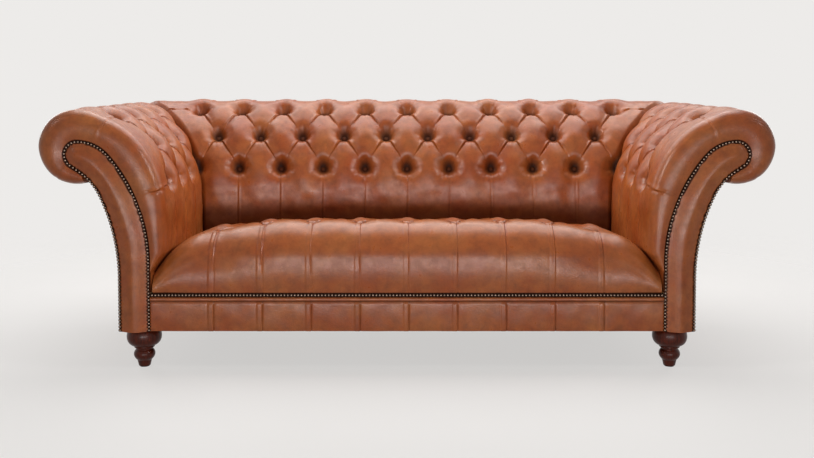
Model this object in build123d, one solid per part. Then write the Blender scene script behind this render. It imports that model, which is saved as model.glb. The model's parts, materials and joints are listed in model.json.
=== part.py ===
"""Deep-buttoned sofa with flared scroll arms and back, a fixed buttoned seat and turned front feet.

Built with y = 0 on the front plane of the arm facings, y running to the back, and moved at the end
so that the origin is on the floor under the middle of the sofa.
"""
from build123d import *
import math
import os

# Plan and heights
INSIDE_HALF_WIDTH = 792.0   # centre line to the inner face of the arm padding
SEAT_DEPTH = 629.0          # front plane to the front face of the back padding
FOOT_HEIGHT = 124.0
RAIL_HEIGHT = 119.0
RAIL_THICKNESS = 30.0
TUCK_HEIGHT = 300.0         # lower edge of the arm and back covers, hidden behind the seat

# Scroll profile shared by the arms and the back
ROLL_OUT = 218.0            # inner padding face to the axis of the roll
ROLL_AXIS_HEIGHT = 697.0
ROLL_CORE_RADIUS = 68.0
SWEEP_RADIUS = 285.0        # the long curve that leads up to the roll
ROLL_END_ANGLE = -100.0     # where the cover is tacked under the roll
FOAM_THICKNESS = 34.0

# Outside of the arms and back
OUTSIDE_OUT = 95.0          # inner padding face to the outer nail line at the foot of the arm
OUTSIDE_SWEEP = 600.0
OUTSIDE_NECK = 180.0
PANEL_THICKNESS = 4.0
PANEL_TUCK = 30.0           # how far the outside panels stop short of the neck

# Arm facings
FACING_INSET = 5.0          # inner padding face to the inner nail line
FACING_STRAIGHT = 340.0     # height at which the inner nail line starts to curve
FACING_TIP_RADIUS = 40.0
FACING_TOP_RADIUS = 120.0
FACING_TIP_DROP = 25.0      # centre of the facing's round tip, below the axis of the roll
FACING_TIP_TURN = 235.0     # heading of the nail line as it leaves the tip, clockwise from straight up
FACING_NECK_LENGTH = 36.0
FACING_THICKNESS = 8.0
FACING_PAD_RISE = 11.0      # padding of the facing, ahead of the front plane
FACING_PAD_FLAT = 8.0       # radius of the level middle of the padding, at the tip
NAIL_WIDTH = 10.0
NAIL_RISE = 3.0

# Buttoning of the arms and back
BACK_COLUMNS = 5            # full columns of buttons on either side of the middle of the back
BACK_CORNER = 17.0          # last of them to the corner with the arm
ARM_PITCH = 150.0
FIRST_ROW = 85.0            # lowest row of buttons above the start of the sweep, along the padding
ROW_PITCH = 122.0
CROWN = 38.0                # height of a full puff above the padding
ROLL_CROWN = 58.0           # height of a puff where it lies over the roll
QUARTER_CROWN = 34.0
PANEL_CROWN = 33.0          # height of the lower panels at their pleats
BUTTON_FLOOR = 6.0
PLEAT_HEIGHT = 19.0
BUTTON_RADIUS = 10.0
BUTTON_SEAT = 14.0
EDGE_HEIGHT = 4.0           # thickness of the covers at their hidden lower edge
ROLL_EDGE = 26.0            # thickness where the covers are tacked under the roll
FRONT_STRIP = 120.0         # plain front of the inside arm, ahead of the buttons
STRIP_CROWN = 47.0
STRIP_PLEAT = 44.0
LIP_ROUNDING = 9.0

# Buttoned seat
SEAT_PITCH = 151.0
SEAT_ROW_PITCH = 108.0
SEAT_FRONT = 46.0           # front plane to the front of the seat padding
SEAT_TOP = 415.0
SEAT_EDGE_RADIUS = 70.0
SEAT_SLOPE = 7.5            # degrees of fall to the back
SEAT_REAR_GAP = 44.0        # back padding to the rear edge of the seat
SEAT_SIDE_GAP = 7.0
SEAT_SIDE_DROP = 148.0
SEAT_SHOULDER = 190.0
SEAT_FALL = 2.05            # how late the shoulder turns down: 1 is a straight slope
SEAT_CROWN = 36.0
SEAT_SKIRT = 44.0           # thickness of the seat cover at the nail line

# Frame and suspension
BOARD_THICKNESS = 24.0
STRAP_WIDTH = 60.0
STRAP_PITCH = 144.0
STRAP_THICKNESS = 2.0
HESSIAN_THICKNESS = 1.5
SIDE_RAIL_OUT = 57.0
CROSS_RAIL_X = 270.0
BATTEN_SIDE = 28.0
TACK_RAIL_HEIGHT = 50.0
TACK_RAIL_THICKNESS = 20.0
TENON = 20.0
TENON_WIDTH = 60.0
CROSS_RAIL_HEIGHT = 76.0
BLOCK_SIDE = 72.0
BLOCK_HEIGHT = 40.0
SCREW_RADIUS = 2.5

# Border under the seat and dust cover
BORDER_THICKNESS = 6.0
PIPING_RADIUS = 4.0
PIPING_DROP = 18.0
DUST_COVER = 1.0

# Feet
FOOT_INSET = 60.0           # foot axis behind the front plane
FOOT_OUT = 36.0             # foot axis outside the inner padding face
BUN_RADIUS = 54.0
BUN_HEIGHT = 58.0
RING_RADIUS = 31.0
NECK_RADIUS = 26.0
BULB_RADIUS = 33.0
TOE_RADIUS = 18.0
REAR_FOOT_SIDE = 62.0
REAR_FOOT_TOE = 46.0
REAR_FOOT_RAKE = 24.0
BOLT_RADIUS = 4.0
NUT_RADIUS = 5.5
GLIDE_HEIGHT = 3.0

GAP = 0.3                   # clearance between pieces that rest on each other

RAIL_TOP = FOOT_HEIGHT + RAIL_HEIGHT
BACK_PITCH = (INSIDE_HALF_WIDTH - BACK_CORNER) / BACK_COLUMNS
DECK = RAIL_TOP + 2 * STRAP_THICKNESS + HESSIAN_THICKNESS
POST_FRONT = FACING_THICKNESS + GAP
POST_BACK = POST_FRONT + RAIL_THICKNESS

os.makedirs("parts", exist_ok=True)


class Track:
    """A run of straight and round stretches in the (out, up) plane of a slice, read by its length."""

    def __init__(self, start, heading=90.0):
        self.end = Vector(*start)
        self.heading = heading
        self.stretches = []
        self.length = 0.0

    def line(self, length):
        self.stretches.append(("line", self.length, length, self.end, self.heading, 0.0))
        way = math.radians(self.heading)
        self.end = self.end + Vector(math.cos(way), math.sin(way)) * length
        self.length += length
        return self

    def arc(self, radius, turn):
        """A round stretch that turns to the right by some degrees."""
        side = math.radians(self.heading - 90)
        centre = self.end + Vector(math.cos(side), math.sin(side)) * radius
        length = radius * math.radians(turn)
        self.stretches.append(("arc", self.length, length, centre, self.heading + 90, radius))
        self.heading -= turn
        away = math.radians(self.heading + 90)
        self.end = centre + Vector(math.cos(away), math.sin(away)) * radius
        self.length += length
        return self

    def point(self, along, raised=0.0):
        """The point some way along the run, raised off it to the left."""
        for kind, start, length, anchor, angle, radius in self.stretches:
            if along <= start + length + 1e-6:
                break
        if kind == "line":
            way = math.radians(angle)
            forward = Vector(math.cos(way), math.sin(way)) * (along - start)
            return anchor + forward + Vector(-math.sin(way), math.cos(way)) * raised
        away = math.radians(angle) - (along - start) / radius
        return anchor + Vector(math.cos(away), math.sin(away)) * (radius + raised)

    def breaks(self, steepest=40.0):
        """Lengths that cut the run into straight stretches and short arcs."""
        cuts = [0.0]
        for kind, start, length, anchor, angle, radius in self.stretches:
            pieces = 1
            if kind == "arc":
                pieces = math.ceil(math.degrees(length / radius) / steepest)
            for piece in range(1, pieces + 1):
                cuts.append(start + length * piece / pieces)
        return cuts

    def edges(self, place, raised=0.0, steepest=40.0):
        """The run as edges, placed in space."""
        cuts = self.breaks(steepest)
        pieces = []
        for first, last in zip(cuts, cuts[1:]):
            ends = [place(self.point(first, raised)), place(self.point(last, raised))]
            middle = place(self.point((first + last) / 2, raised))
            if (middle - (ends[0] + ends[1]) * 0.5).length < 1e-4:
                pieces.append(Edge.make_line(*ends))
            else:
                pieces.append(Edge.make_three_point_arc(ends[0], middle, ends[1]))
        return pieces


def in_plane(point):
    return Vector(point.X, point.Y, 0)


def arm_slice(depth):
    """Places a profile point in the right arm, at some depth behind the front plane."""
    return lambda point: Vector(INSIDE_HALF_WIDTH + point.X, depth, point.Y)


def back_slice(across):
    """Places a profile point in the back, at some distance from the centre line."""
    return lambda point: Vector(across, SEAT_DEPTH + point.X, point.Y)


def seat_slice(across):
    return lambda point: Vector(across, point.X, point.Y)


def scroll_track(bottom):
    """The padding profile of arm and back, from its lower edge up and over the roll."""
    reach = SWEEP_RADIUS - ROLL_CORE_RADIUS
    sideways = SWEEP_RADIUS - ROLL_OUT
    rise = math.sqrt(reach ** 2 - sideways ** 2)
    turn = math.degrees(math.atan2(rise, sideways))
    start = ROLL_AXIS_HEIGHT - rise
    track = Track((0, bottom)).line(start - bottom).arc(SWEEP_RADIUS, turn)
    return track.arc(ROLL_CORE_RADIUS, 180 - turn - ROLL_END_ANGLE)


def outside_track(bottom, short=0.0):
    """The outer nail line, from the foot of the arm up to the neck of the facing."""
    tip = Vector(ROLL_OUT, ROLL_AXIS_HEIGHT - FACING_TIP_DROP)
    leave = math.radians(90 - FACING_TIP_TURN)
    ahead = Vector(math.cos(leave), math.sin(leave))
    right = Vector(math.sin(leave), -math.cos(leave))
    neck = tip - right * FACING_TIP_RADIUS + ahead * FACING_NECK_LENGTH
    middle = neck - right * OUTSIDE_NECK
    sideways = OUTSIDE_OUT + OUTSIDE_SWEEP - middle.X
    reach = OUTSIDE_SWEEP - OUTSIDE_NECK
    rise = math.sqrt(reach ** 2 - sideways ** 2)
    turn = math.degrees(math.atan2(rise, sideways))
    start = middle.Y - rise
    track = Track((OUTSIDE_OUT, bottom)).line(start - bottom).arc(OUTSIDE_SWEEP, turn)
    return track.arc(OUTSIDE_NECK, FACING_TIP_TURN - 180 - turn - math.degrees(short / OUTSIDE_NECK))


def facing_track(bottom):
    """The inner nail line, up the inside of the facing and round its tip."""
    sideways = ROLL_OUT - FACING_INSET
    tip_top = ROLL_AXIS_HEIGHT - FACING_TIP_DROP + FACING_TIP_RADIUS
    rise = tip_top - FACING_TOP_RADIUS - FACING_STRAIGHT
    sweep = (sideways ** 2 + rise ** 2 - FACING_TOP_RADIUS ** 2) / (2 * (sideways - FACING_TOP_RADIUS))
    turn = math.degrees(math.atan2(rise, sweep - sideways))
    track = Track((FACING_INSET, bottom)).line(FACING_STRAIGHT - bottom).arc(sweep, turn)
    return track.arc(FACING_TOP_RADIUS, 90 - turn).arc(FACING_TIP_RADIUS, FACING_TIP_TURN - 90)


def facing_wire(grow, depth):
    """Outline of the right arm facing along its nail lines, grown or shrunk."""
    place = arm_slice(depth)
    inner = facing_track(FOOT_HEIGHT)
    outer = outside_track(FOOT_HEIGHT)
    rim = inner.edges(place, grow, 80)
    rim.append(Edge.make_line(place(inner.point(inner.length, grow)),
                              place(outer.point(outer.length, -grow))))
    rim += outer.edges(place, -grow, 80)
    rim.append(Edge.make_line(place(outer.point(0, -grow)), place(inner.point(0, grow))))
    return Wire(rim)


def board_face(inset, bottom):
    """Outline of a scroll-shaped board, some way inside the padding profile."""
    inner = scroll_track(bottom)
    outer = outside_track(bottom, PANEL_TUCK)
    axis = Vector(ROLL_OUT, ROLL_AXIS_HEIGHT)
    stem = inner.edges(in_plane, -inset, 80)[:2]
    top = in_plane(inner.point(inner.stretches[2][1], -inset))
    neck = in_plane(outer.point(outer.length, -GAP))
    stem += [Edge.make_line(top, axis), Edge.make_line(axis, neck)]
    stem += outer.edges(in_plane, -GAP, 80)
    stem.append(Edge.make_line(in_plane(outer.point(0, -GAP)), in_plane(inner.point(0, -inset))))
    roll = Pos(ROLL_OUT, ROLL_AXIS_HEIGHT) * Circle(ROLL_CORE_RADIUS - inset)
    return (-Face(Wire(stem)) + roll).face()


def band_face(track, inside, outside):
    """The strip between two lines that follow a run on its outer side."""
    rim = track.edges(in_plane, -inside, 80)
    rim.append(Edge.make_line(in_plane(track.point(track.length, -inside)),
                              in_plane(track.point(track.length, -outside))))
    rim += track.edges(in_plane, -outside, 80)
    rim.append(Edge.make_line(in_plane(track.point(0, -outside)), in_plane(track.point(0, -inside))))
    return Face(Wire(rim))


def puffs(track, place, valleys, crowns):
    """The scalloped outside of one slice of a buttoned cover."""
    found = []
    for (first, low), (last, high), crown in zip(valleys, valleys[1:], crowns):
        ends = [place(track.point(first, low)), place(track.point(last, high))]
        middle = place(track.point((first + last) / 2, crown))
        found.append(Edge.make_three_point_arc(ends[0], middle, ends[1]))
    return found


def cover_wire(track, place, valleys, crowns):
    """One slice of a buttoned cover: puffs between valleys outside, the smooth padding inside."""
    rim = puffs(track, place, valleys, crowns)
    end = track.length
    rim.append(Edge.make_line(place(track.point(end, valleys[-1][1])), place(track.point(end, GAP))))
    rim += track.edges(place, GAP)
    rim.append(Edge.make_line(place(track.point(0, GAP)), place(track.point(0, valleys[0][1]))))
    return Wire(rim)


def lip_wire(depth, less):
    """Outline of the cover where it wraps round the front of the arm to the nail lines."""
    place = arm_slice(depth)
    valleys, crowns = strip_shape(less)
    inner = facing_track(TUCK_HEIGHT)
    outer = outside_track(TUCK_HEIGHT)
    neck = [outer.length - 1.4 * PANEL_TUCK, outer.length - 0.7 * PANEL_TUCK, outer.length]
    neck = [place(outer.point(along, -GAP)) for along in neck]
    rim = puffs(scroll, place, valleys, crowns)
    rim.append(Edge.make_line(place(scroll.point(scroll.length, valleys[-1][1])), neck[0]))
    rim.append(Edge.make_three_point_arc(*neck))
    rim.append(Edge.make_line(neck[2], place(inner.point(inner.length, GAP))))
    rim += inner.edges(place, GAP, 80)
    rim.append(Edge.make_line(place(inner.point(0, GAP)), place(scroll.point(0, valleys[0][1]))))
    return Wire(rim)


def core_face(track, thickness):
    """The padding's slice, with the same outside as the cover's inside."""
    end = track.length
    rim = track.edges(in_plane, 0, 80)
    rim.append(Edge.make_line(in_plane(track.point(end)), in_plane(track.point(end, -thickness))))
    rim += track.edges(in_plane, -thickness, 80)
    rim.append(Edge.make_line(in_plane(track.point(0, -thickness)), in_plane(track.point(0))))
    return Face(Wire(rim))


def valleys_at(kind, rows, length, edges, top):
    """Where the pleats cross a slice: over a button column of either kind, or midway between.

    The upper puff of an even column is long, so it has one more break at its top.
    """
    seat = BUTTON_SEAT
    even = [rows[0], rows[2] - seat, rows[2] + seat, rows[3], rows[4]]
    odd = [rows[1] - seat, rows[1] + seat, rows[3] - seat, rows[3], rows[3] + seat]
    if kind == "even":
        places = even
        heights = [BUTTON_FLOOR] * 3 + [top, BUTTON_FLOOR]
    elif kind == "odd":
        places = odd
        heights = [BUTTON_FLOOR] * 5
    else:
        places = [(first + last) / 2 for first, last in zip(even, odd)]
        heights = [PLEAT_HEIGHT] * 3 + [top / 2 + 3, PLEAT_HEIGHT]
    return [(0.0, edges[0])] + list(zip(places, heights)) + [(length, edges[1])]


def crowns_at(kind, crown, panel, top):
    """Heights of one slice midway between its breaks."""
    floor = BUTTON_FLOOR + 1
    if kind == "even":
        return [panel, crown, floor, 0.9 * top, 0.9 * top, panel]
    if kind == "odd":
        return [crown, floor, 0.9 * top, floor, floor, crown]
    return [QUARTER_CROWN] * 6


def columns(last, pitch):
    """Column kinds and places from one side to the other, with a slice midway between buttons."""
    places = []
    for quarter in range(-2 * last, 2 * last + 1):
        kind = "between"
        if quarter % 4 == 0:
            kind = "even"
        elif quarter % 2 == 0:
            kind = "odd"
        places.append((kind, quarter * pitch / 4))
    return places


def mirrored(shape):
    return mirror(shape, about=Plane.YZ)


def button(base, out):
    """A covered button, narrow where it is drawn into the padding."""
    return Plane(origin=base, z_dir=out) * Cone(1, BUTTON_RADIUS, BUTTON_RADIUS,
                                                align=(Align.CENTER, Align.CENTER, Align.MIN))


def buttons_on(track, place, stops):
    """Buttons of one column, at the given lengths and heights."""
    found = []
    for along, floor in stops:
        base = place(track.point(along, floor))
        found.append(button(base, place(track.point(along, floor + 1)) - base))
    return found


def prism(face, origin, across, length):
    """A face drawn in the (out, up) plane, stood up across the sofa or along it and given a length."""
    if across == "arm":
        plane = Plane(origin=(INSIDE_HALF_WIDTH, origin, 0), x_dir=(1, 0, 0), z_dir=(0, -1, 0))
        return extrude(plane * face, amount=length, dir=(0, 1, 0))
    plane = Plane(origin=(origin, SEAT_DEPTH, 0), x_dir=(0, 1, 0), z_dir=(1, 0, 0))
    return extrude(plane * face, amount=length, dir=(1, 0, 0))


def block(low, high):
    """A plain timber between two corners."""
    size = [b - a for a, b in zip(low, high)]
    return Pos(*low) * Box(*size, align=(Align.MIN, Align.MIN, Align.MIN))


scroll = scroll_track(TUCK_HEIGHT)
sweep_start = scroll.stretches[1][1]
rows = [sweep_start + FIRST_ROW + ROW_PITCH * row for row in range(5)]
edges = (EDGE_HEIGHT, ROLL_EDGE)
parts = {}


def strip_shape(less):
    """Valleys and crowns of the plain strip at the front of an arm, drawn in by some amount."""
    pleat = STRIP_PLEAT - less
    crown = STRIP_CROWN - less
    inner = [(rows[0], pleat), (rows[2] - BUTTON_SEAT, pleat), (rows[2] + BUTTON_SEAT, pleat)]
    inner += [(rows[3], crown), (rows[4], pleat)]
    valleys = [(0.0, EDGE_HEIGHT)] + inner + [(scroll.length, STRIP_PLEAT - less)]
    return valleys, [CROWN - less, crown, pleat + 1, crown, crown, crown]


# Inside back: cover, padding and buttons, mitred at the corners
spot = BUTTON_FLOOR + 1.2
stops = {"even": [(rows[0], spot), (rows[2], spot + 1), (rows[4], spot + 0.545 * ROLL_EDGE)],
         "odd": [(rows[1], spot + 1), (rows[3], spot)],
         "between": []}
mitre = Plane(origin=(INSIDE_HALF_WIDTH, SEAT_DEPTH, 0), x_dir=(1, 1, 0), z_dir=(1, -1, 0))
reach = ROLL_OUT + ROLL_CORE_RADIUS + 1.5 * CROWN


def buttoned_wire(kind, place):
    return cover_wire(scroll, place, valleys_at(kind, rows, scroll.length, edges, ROLL_CROWN),
                      crowns_at(kind, CROWN, PANEL_CROWN, ROLL_CROWN))


def in_back(shape):
    """The share of a shape between the two corner mitres."""
    right = split(shape, bisect_by=mitre, keep=Keep.BOTTOM)
    return mirrored(split(mirrored(right), bisect_by=mitre, keep=Keep.BOTTOM))


def in_arm(shape):
    return split(shape, bisect_by=mitre, keep=Keep.TOP)


wide = INSIDE_HALF_WIDTH + reach
back_columns = columns(math.ceil(wide / BACK_PITCH * 2), BACK_PITCH)
wires = [buttoned_wire(kind, back_slice(across)) for kind, across in back_columns]
parts["back_cover"] = in_back(Solid.make_loft(wires, True))
core = core_face(scroll, FOAM_THICKNESS)
parts["back_foam"] = in_back(prism(core, -wide, "back", 2 * wide))
found = []
for kind, across in back_columns:
    if abs(across) < INSIDE_HALF_WIDTH - BUTTON_SEAT:
        found += buttons_on(scroll, back_slice(across), stops[kind])
parts["back_buttons"] = Compound(children=found)

# Inside arms: cover wrapped round the front, padding and buttons
arm_count = 2 * math.floor((SEAT_DEPTH - FRONT_STRIP) / ARM_PITCH)
behind = math.ceil(reach / ARM_PITCH * 2)
wires = []
found = []
for kind, ahead in columns(max(arm_count, behind), ARM_PITCH):
    if -behind * ARM_PITCH / 2 <= ahead <= arm_count * ARM_PITCH / 2:
        place = arm_slice(SEAT_DEPTH - ahead)
        wires.append(buttoned_wire(kind, place))
        if ahead > BUTTON_SEAT:
            found += buttons_on(scroll, place, stops[kind])
last_column = SEAT_DEPTH - arm_count * ARM_PITCH / 2
for depth in (0.6 * last_column, FACING_THICKNESS):
    wires.append(cover_wire(scroll, arm_slice(depth), *strip_shape(0)))
lip = Solid.make_loft([lip_wire(FACING_THICKNESS, 0), lip_wire(0, LIP_ROUNDING)], True)
parts["arm_cover_right"] = in_arm(Solid.make_loft(wires, True)) + lip
parts["arm_foam_right"] = in_arm(prism(core, POST_BACK + GAP, "arm", SEAT_DEPTH + reach))
parts["arm_buttons_right"] = Compound(children=found)

# Arm facings with their close nailing
pad_rim = FACING_TIP_RADIUS - FACING_PAD_FLAT
pad = [facing_wire(0, FACING_THICKNESS), facing_wire(0, 2), facing_wire(-NAIL_WIDTH / 2 - 1, GAP),
       facing_wire(-0.6 * pad_rim, -0.75 * FACING_PAD_RISE), facing_wire(-pad_rim, -FACING_PAD_RISE)]
parts["arm_facing_right"] = Solid.make_loft(pad, True)
rim = Face(facing_wire(NAIL_WIDTH / 2, -0.1)) - Face(facing_wire(-NAIL_WIDTH / 2, -0.1))
parts["facing_nails_right"] = extrude(rim, amount=NAIL_RISE, dir=(0, -1, 0))


# Seat: cover, padding and buttons
def seat_drop(across):
    """How far the seat falls towards the arms."""
    end = INSIDE_HALF_WIDTH - SEAT_SIDE_GAP
    share = max(0.0, (abs(across) - end + SEAT_SHOULDER) / SEAT_SHOULDER)
    return SEAT_SIDE_DROP * share ** SEAT_FALL


def seat_track(across):
    drop = seat_drop(across)
    radius = SEAT_EDGE_RADIUS * (1 - 0.75 * drop / SEAT_SIDE_DROP)
    slope = SEAT_SLOPE * (1 - drop / SEAT_SIDE_DROP)
    bottom = RAIL_TOP + STRAP_THICKNESS + GAP
    track = Track((SEAT_FRONT, bottom)).line(SEAT_TOP - drop - radius - bottom).arc(radius, 90 + slope)
    rear = (SEAT_DEPTH - SEAT_REAR_GAP - track.end.X) / math.cos(math.radians(slope))
    return track.line(rear)


def seat_rows(track):
    crest = track.stretches[2][1]
    pitch = min(SEAT_ROW_PITCH, (track.length - crest) / 4.3)
    return [crest + pitch * row for row in range(5)]


def seat_wire(kind, across):
    track = seat_track(across)
    ends = (SEAT_SKIRT, EDGE_HEIGHT)
    valleys = valleys_at(kind, seat_rows(track), track.length, ends, SEAT_CROWN)
    crowns = crowns_at(kind, SEAT_CROWN, SEAT_CROWN - 4, SEAT_CROWN)
    if kind == "side":
        raised = [(along, max(height, SEAT_CROWN - 8)) for along, height in valleys[:-1]]
        valleys = raised + valleys[-1:]
        crowns = [SEAT_CROWN - 2] * 6
    crowns[0] += (SEAT_SKIRT - SEAT_CROWN) / 2
    return cover_wire(track, seat_slice(across), valleys, crowns)


def seat_core(across):
    place = seat_slice(across)
    track = seat_track(across)
    rim = track.edges(place)
    rear = Vector(across, track.end.X, DECK + GAP)
    front = Vector(across, SEAT_FRONT, DECK + GAP)
    rim[0] = Edge.make_line(front, rim[0] @ 1)
    rim.append(Edge.make_line(place(track.end), rear))
    rim.append(Edge.make_line(rear, front))
    return Wire(rim)


seat_end = INSIDE_HALF_WIDTH - SEAT_SIDE_GAP
last_seat = 2 * math.floor((seat_end - 0.5 * SEAT_PITCH) / SEAT_PITCH - 0.5) + 1
seat_columns = columns(last_seat, SEAT_PITCH)
edge_column = seat_columns[-1][1]
shoulder = [edge_column + (seat_end - edge_column) * share for share in (0.4, 0.72, 1.0)]
places = [("side", -across) for across in reversed(shoulder)] + seat_columns
places += [("side", across) for across in shoulder]
parts["seat_cover"] = Solid.make_loft([seat_wire(kind, across) for kind, across in places], True)
parts["seat_foam"] = Solid.make_loft([seat_core(across) for kind, across in places], True)
found = []
for kind, across in seat_columns:
    track = seat_track(across)
    heights = seat_rows(track)
    chosen = {"even": [(heights[0], spot), (heights[2], spot + 1)],
              "odd": [(heights[1], spot + 1), (heights[3], spot)],
              "between": []}
    if abs(across) < edge_column:
        found += buttons_on(track, seat_slice(across), chosen[kind])
parts["seat_buttons"] = Compound(children=found)

# Seat frame: tenoned rails, cross rails and corner blocks
rail_inner = INSIDE_HALF_WIDTH + SIDE_RAIL_OUT
rail_outer = rail_inner + RAIL_THICKNESS
back_rail_front = SEAT_DEPTH + SIDE_RAIL_OUT
back_rail_rear = back_rail_front + RAIL_THICKNESS
tenon_low = FOOT_HEIGHT + (RAIL_HEIGHT - TENON_WIDTH) / 2
tenon_high = tenon_low + TENON_WIDTH
cross_low = FOOT_HEIGHT + (RAIL_HEIGHT - CROSS_RAIL_HEIGHT) / 2
third = RAIL_THICKNESS / 3


def grown(low, high):
    """The same timber with a clearance all round, to cut its seat."""
    return block([value - GAP / 2 for value in low], [value + GAP / 2 for value in high])


front_rail = block((-INSIDE_HALF_WIDTH, POST_FRONT, FOOT_HEIGHT), (INSIDE_HALF_WIDTH, POST_BACK, RAIL_TOP))
back_rail = block((-rail_inner, back_rail_front, FOOT_HEIGHT), (rail_inner, back_rail_rear, RAIL_TOP))
side_rail = block((rail_inner, POST_BACK, FOOT_HEIGHT),
                  (rail_outer, back_rail_rear, RAIL_TOP + STRAP_THICKNESS))
post = prism(board_face(GAP, FOOT_HEIGHT), POST_FRONT, "arm", RAIL_THICKNESS)

joint = ((INSIDE_HALF_WIDTH, POST_FRONT + third, tenon_low),
         (INSIDE_HALF_WIDTH + TENON, POST_FRONT + 2 * third, tenon_high))
post -= grown(*joint)
front_rail += block(*joint) + mirrored(block(*joint))
joint = ((rail_inner + third, POST_BACK - TENON, tenon_low), (rail_inner + 2 * third, POST_BACK, tenon_high))
post -= grown(*joint)
side_rail += block(*joint)
joint = ((rail_inner, back_rail_front + third, tenon_low),
         (rail_inner + TENON, back_rail_front + 2 * third, tenon_high))
side_rail -= grown(*joint)
back_rail += block(*joint) + mirrored(block(*joint))

cross_rails = []
for side in (-1, 1):
    left = side * CROSS_RAIL_X - RAIL_THICKNESS / 2
    rail = block((left, POST_BACK, cross_low),
                 (left + RAIL_THICKNESS, back_rail_front, cross_low + CROSS_RAIL_HEIGHT))
    for start in (POST_BACK - TENON, back_rail_front):
        joint = ((left + third, start, tenon_low), (left + 2 * third, start + TENON, tenon_high))
        rail += block(*joint)
        front_rail -= grown(*joint)
        back_rail -= grown(*joint)
    cross_rails.append(rail)
parts["seat_cross_rails"] = Compound(children=cross_rails)

# Feet with their bolts, tee nuts and glides, and the blocks that carry them
foot_x = INSIDE_HALF_WIDTH + FOOT_OUT
rear_foot_y = back_rail_front - FOOT_OUT
foot_spots = [(foot_x, FOOT_INSET), (foot_x, rear_foot_y)]
bolt_low = FOOT_HEIGHT - BLOCK_HEIGHT
bolt_high = FOOT_HEIGHT + BLOCK_HEIGHT + 2
blocks = []
bolts = []
nuts = []
screws = []
for x, y in foot_spots:
    front = POST_BACK if y == FOOT_INSET else back_rail_front - BLOCK_SIDE
    inner_y = front + BLOCK_SIDE if y == FOOT_INSET else front
    corner = block((rail_inner - BLOCK_SIDE, front, FOOT_HEIGHT),
                   (rail_inner, front + BLOCK_SIDE, FOOT_HEIGHT + BLOCK_HEIGHT))
    upright = corner.edges().filter_by(Axis.Z)
    upright = upright.sort_by_distance((rail_inner - BLOCK_SIDE, inner_y, FOOT_HEIGHT))[0]
    corner = chamfer(upright, BLOCK_SIDE / 3)
    corner -= Pos(x, y, FOOT_HEIGHT) * Cylinder(NUT_RADIUS + GAP, 3 * BLOCK_HEIGHT)
    middle = FOOT_HEIGHT + BLOCK_HEIGHT / 2
    spot = front + BLOCK_SIDE * (0.75 if y == FOOT_INSET else 0.25)
    screw = Pos(rail_inner, spot, middle) * Rot(0, 90, 0) * Cylinder(SCREW_RADIUS, 44)
    hole = Pos(rail_inner, spot, middle) * Rot(0, 90, 0) * Cylinder(SCREW_RADIUS + GAP / 2, 44 + GAP)
    corner -= hole
    side_rail -= hole
    screws.append(screw)
    blocks.append(corner)
    bolts.append(Pos(x, y, (bolt_low + bolt_high) / 2) * Cylinder(BOLT_RADIUS, bolt_high - bolt_low))
    head = Pos(x, y, bolt_high - 2)
    nut = head * Cylinder(2 * NUT_RADIUS, 1.5, align=(Align.CENTER, Align.CENTER, Align.MIN))
    nut += head * Cylinder(NUT_RADIUS, BLOCK_HEIGHT / 3, align=(Align.CENTER, Align.CENTER, Align.MAX))
    nuts.append(nut - Pos(x, y, bolt_high) * Cylinder(BOLT_RADIUS + GAP / 3, 2 * BLOCK_HEIGHT))


def both_sides(shapes):
    """One node for like pieces on the right and on the left."""
    return Compound(children=shapes + [mirrored(shape) for shape in shapes])


parts["corner_blocks"] = both_sides(blocks)
parts["corner_screws"] = both_sides(screws)
parts["foot_bolts"] = both_sides(bolts)
parts["foot_tee_nuts"] = both_sides(nuts)

bun_low = FOOT_HEIGHT - BUN_HEIGHT
bulb = bun_low * 0.46
rim = [Edge.make_line((0, GLIDE_HEIGHT), (TOE_RADIUS, GLIDE_HEIGHT)),
       Edge.make_line((TOE_RADIUS, GLIDE_HEIGHT), (TOE_RADIUS + 2, bulb * 0.45)),
       Edge.make_three_point_arc((TOE_RADIUS + 2, bulb * 0.45), (BULB_RADIUS, bulb),
                                 (NECK_RADIUS, bulb * 1.6)),
       Edge.make_line((NECK_RADIUS, bulb * 1.6), (NECK_RADIUS, bulb * 1.72)),
       Edge.make_line((NECK_RADIUS, bulb * 1.72), (RING_RADIUS, bulb * 1.8)),
       Edge.make_line((RING_RADIUS, bulb * 1.8), (RING_RADIUS, bun_low)),
       Edge.make_three_point_arc((RING_RADIUS, bun_low), (BUN_RADIUS, bun_low + 0.55 * BUN_HEIGHT),
                                 (BUN_RADIUS - 12, FOOT_HEIGHT)),
       Edge.make_line((BUN_RADIUS - 12, FOOT_HEIGHT), (0, FOOT_HEIGHT)),
       Edge.make_line((0, FOOT_HEIGHT), (0, GLIDE_HEIGHT))]
turned = revolve(Plane.XZ * Face(Wire(rim)), Axis.Z)
drill = Pos(0, 0, FOOT_HEIGHT) * Cylinder(BOLT_RADIUS + GAP / 3, 2 * BLOCK_HEIGHT + 1)
parts["front_foot_right"] = Pos(foot_x, FOOT_INSET) * (turned - drill)
top = Pos(0, 0, FOOT_HEIGHT) * Rectangle(REAR_FOOT_SIDE, REAR_FOOT_SIDE)
toe = Pos(0, REAR_FOOT_RAKE, GLIDE_HEIGHT) * Rectangle(REAR_FOOT_TOE, REAR_FOOT_TOE)
parts["rear_foot_right"] = Pos(foot_x, rear_foot_y) * (loft([toe, top]) - drill)
glide = Cylinder(TOE_RADIUS - 3, GLIDE_HEIGHT, align=(Align.CENTER, Align.CENTER, Align.MIN))
parts["foot_glides"] = both_sides([Pos(foot_x, FOOT_INSET) * glide,
                                   Pos(foot_x, rear_foot_y + REAR_FOOT_RAKE) * glide])

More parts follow.
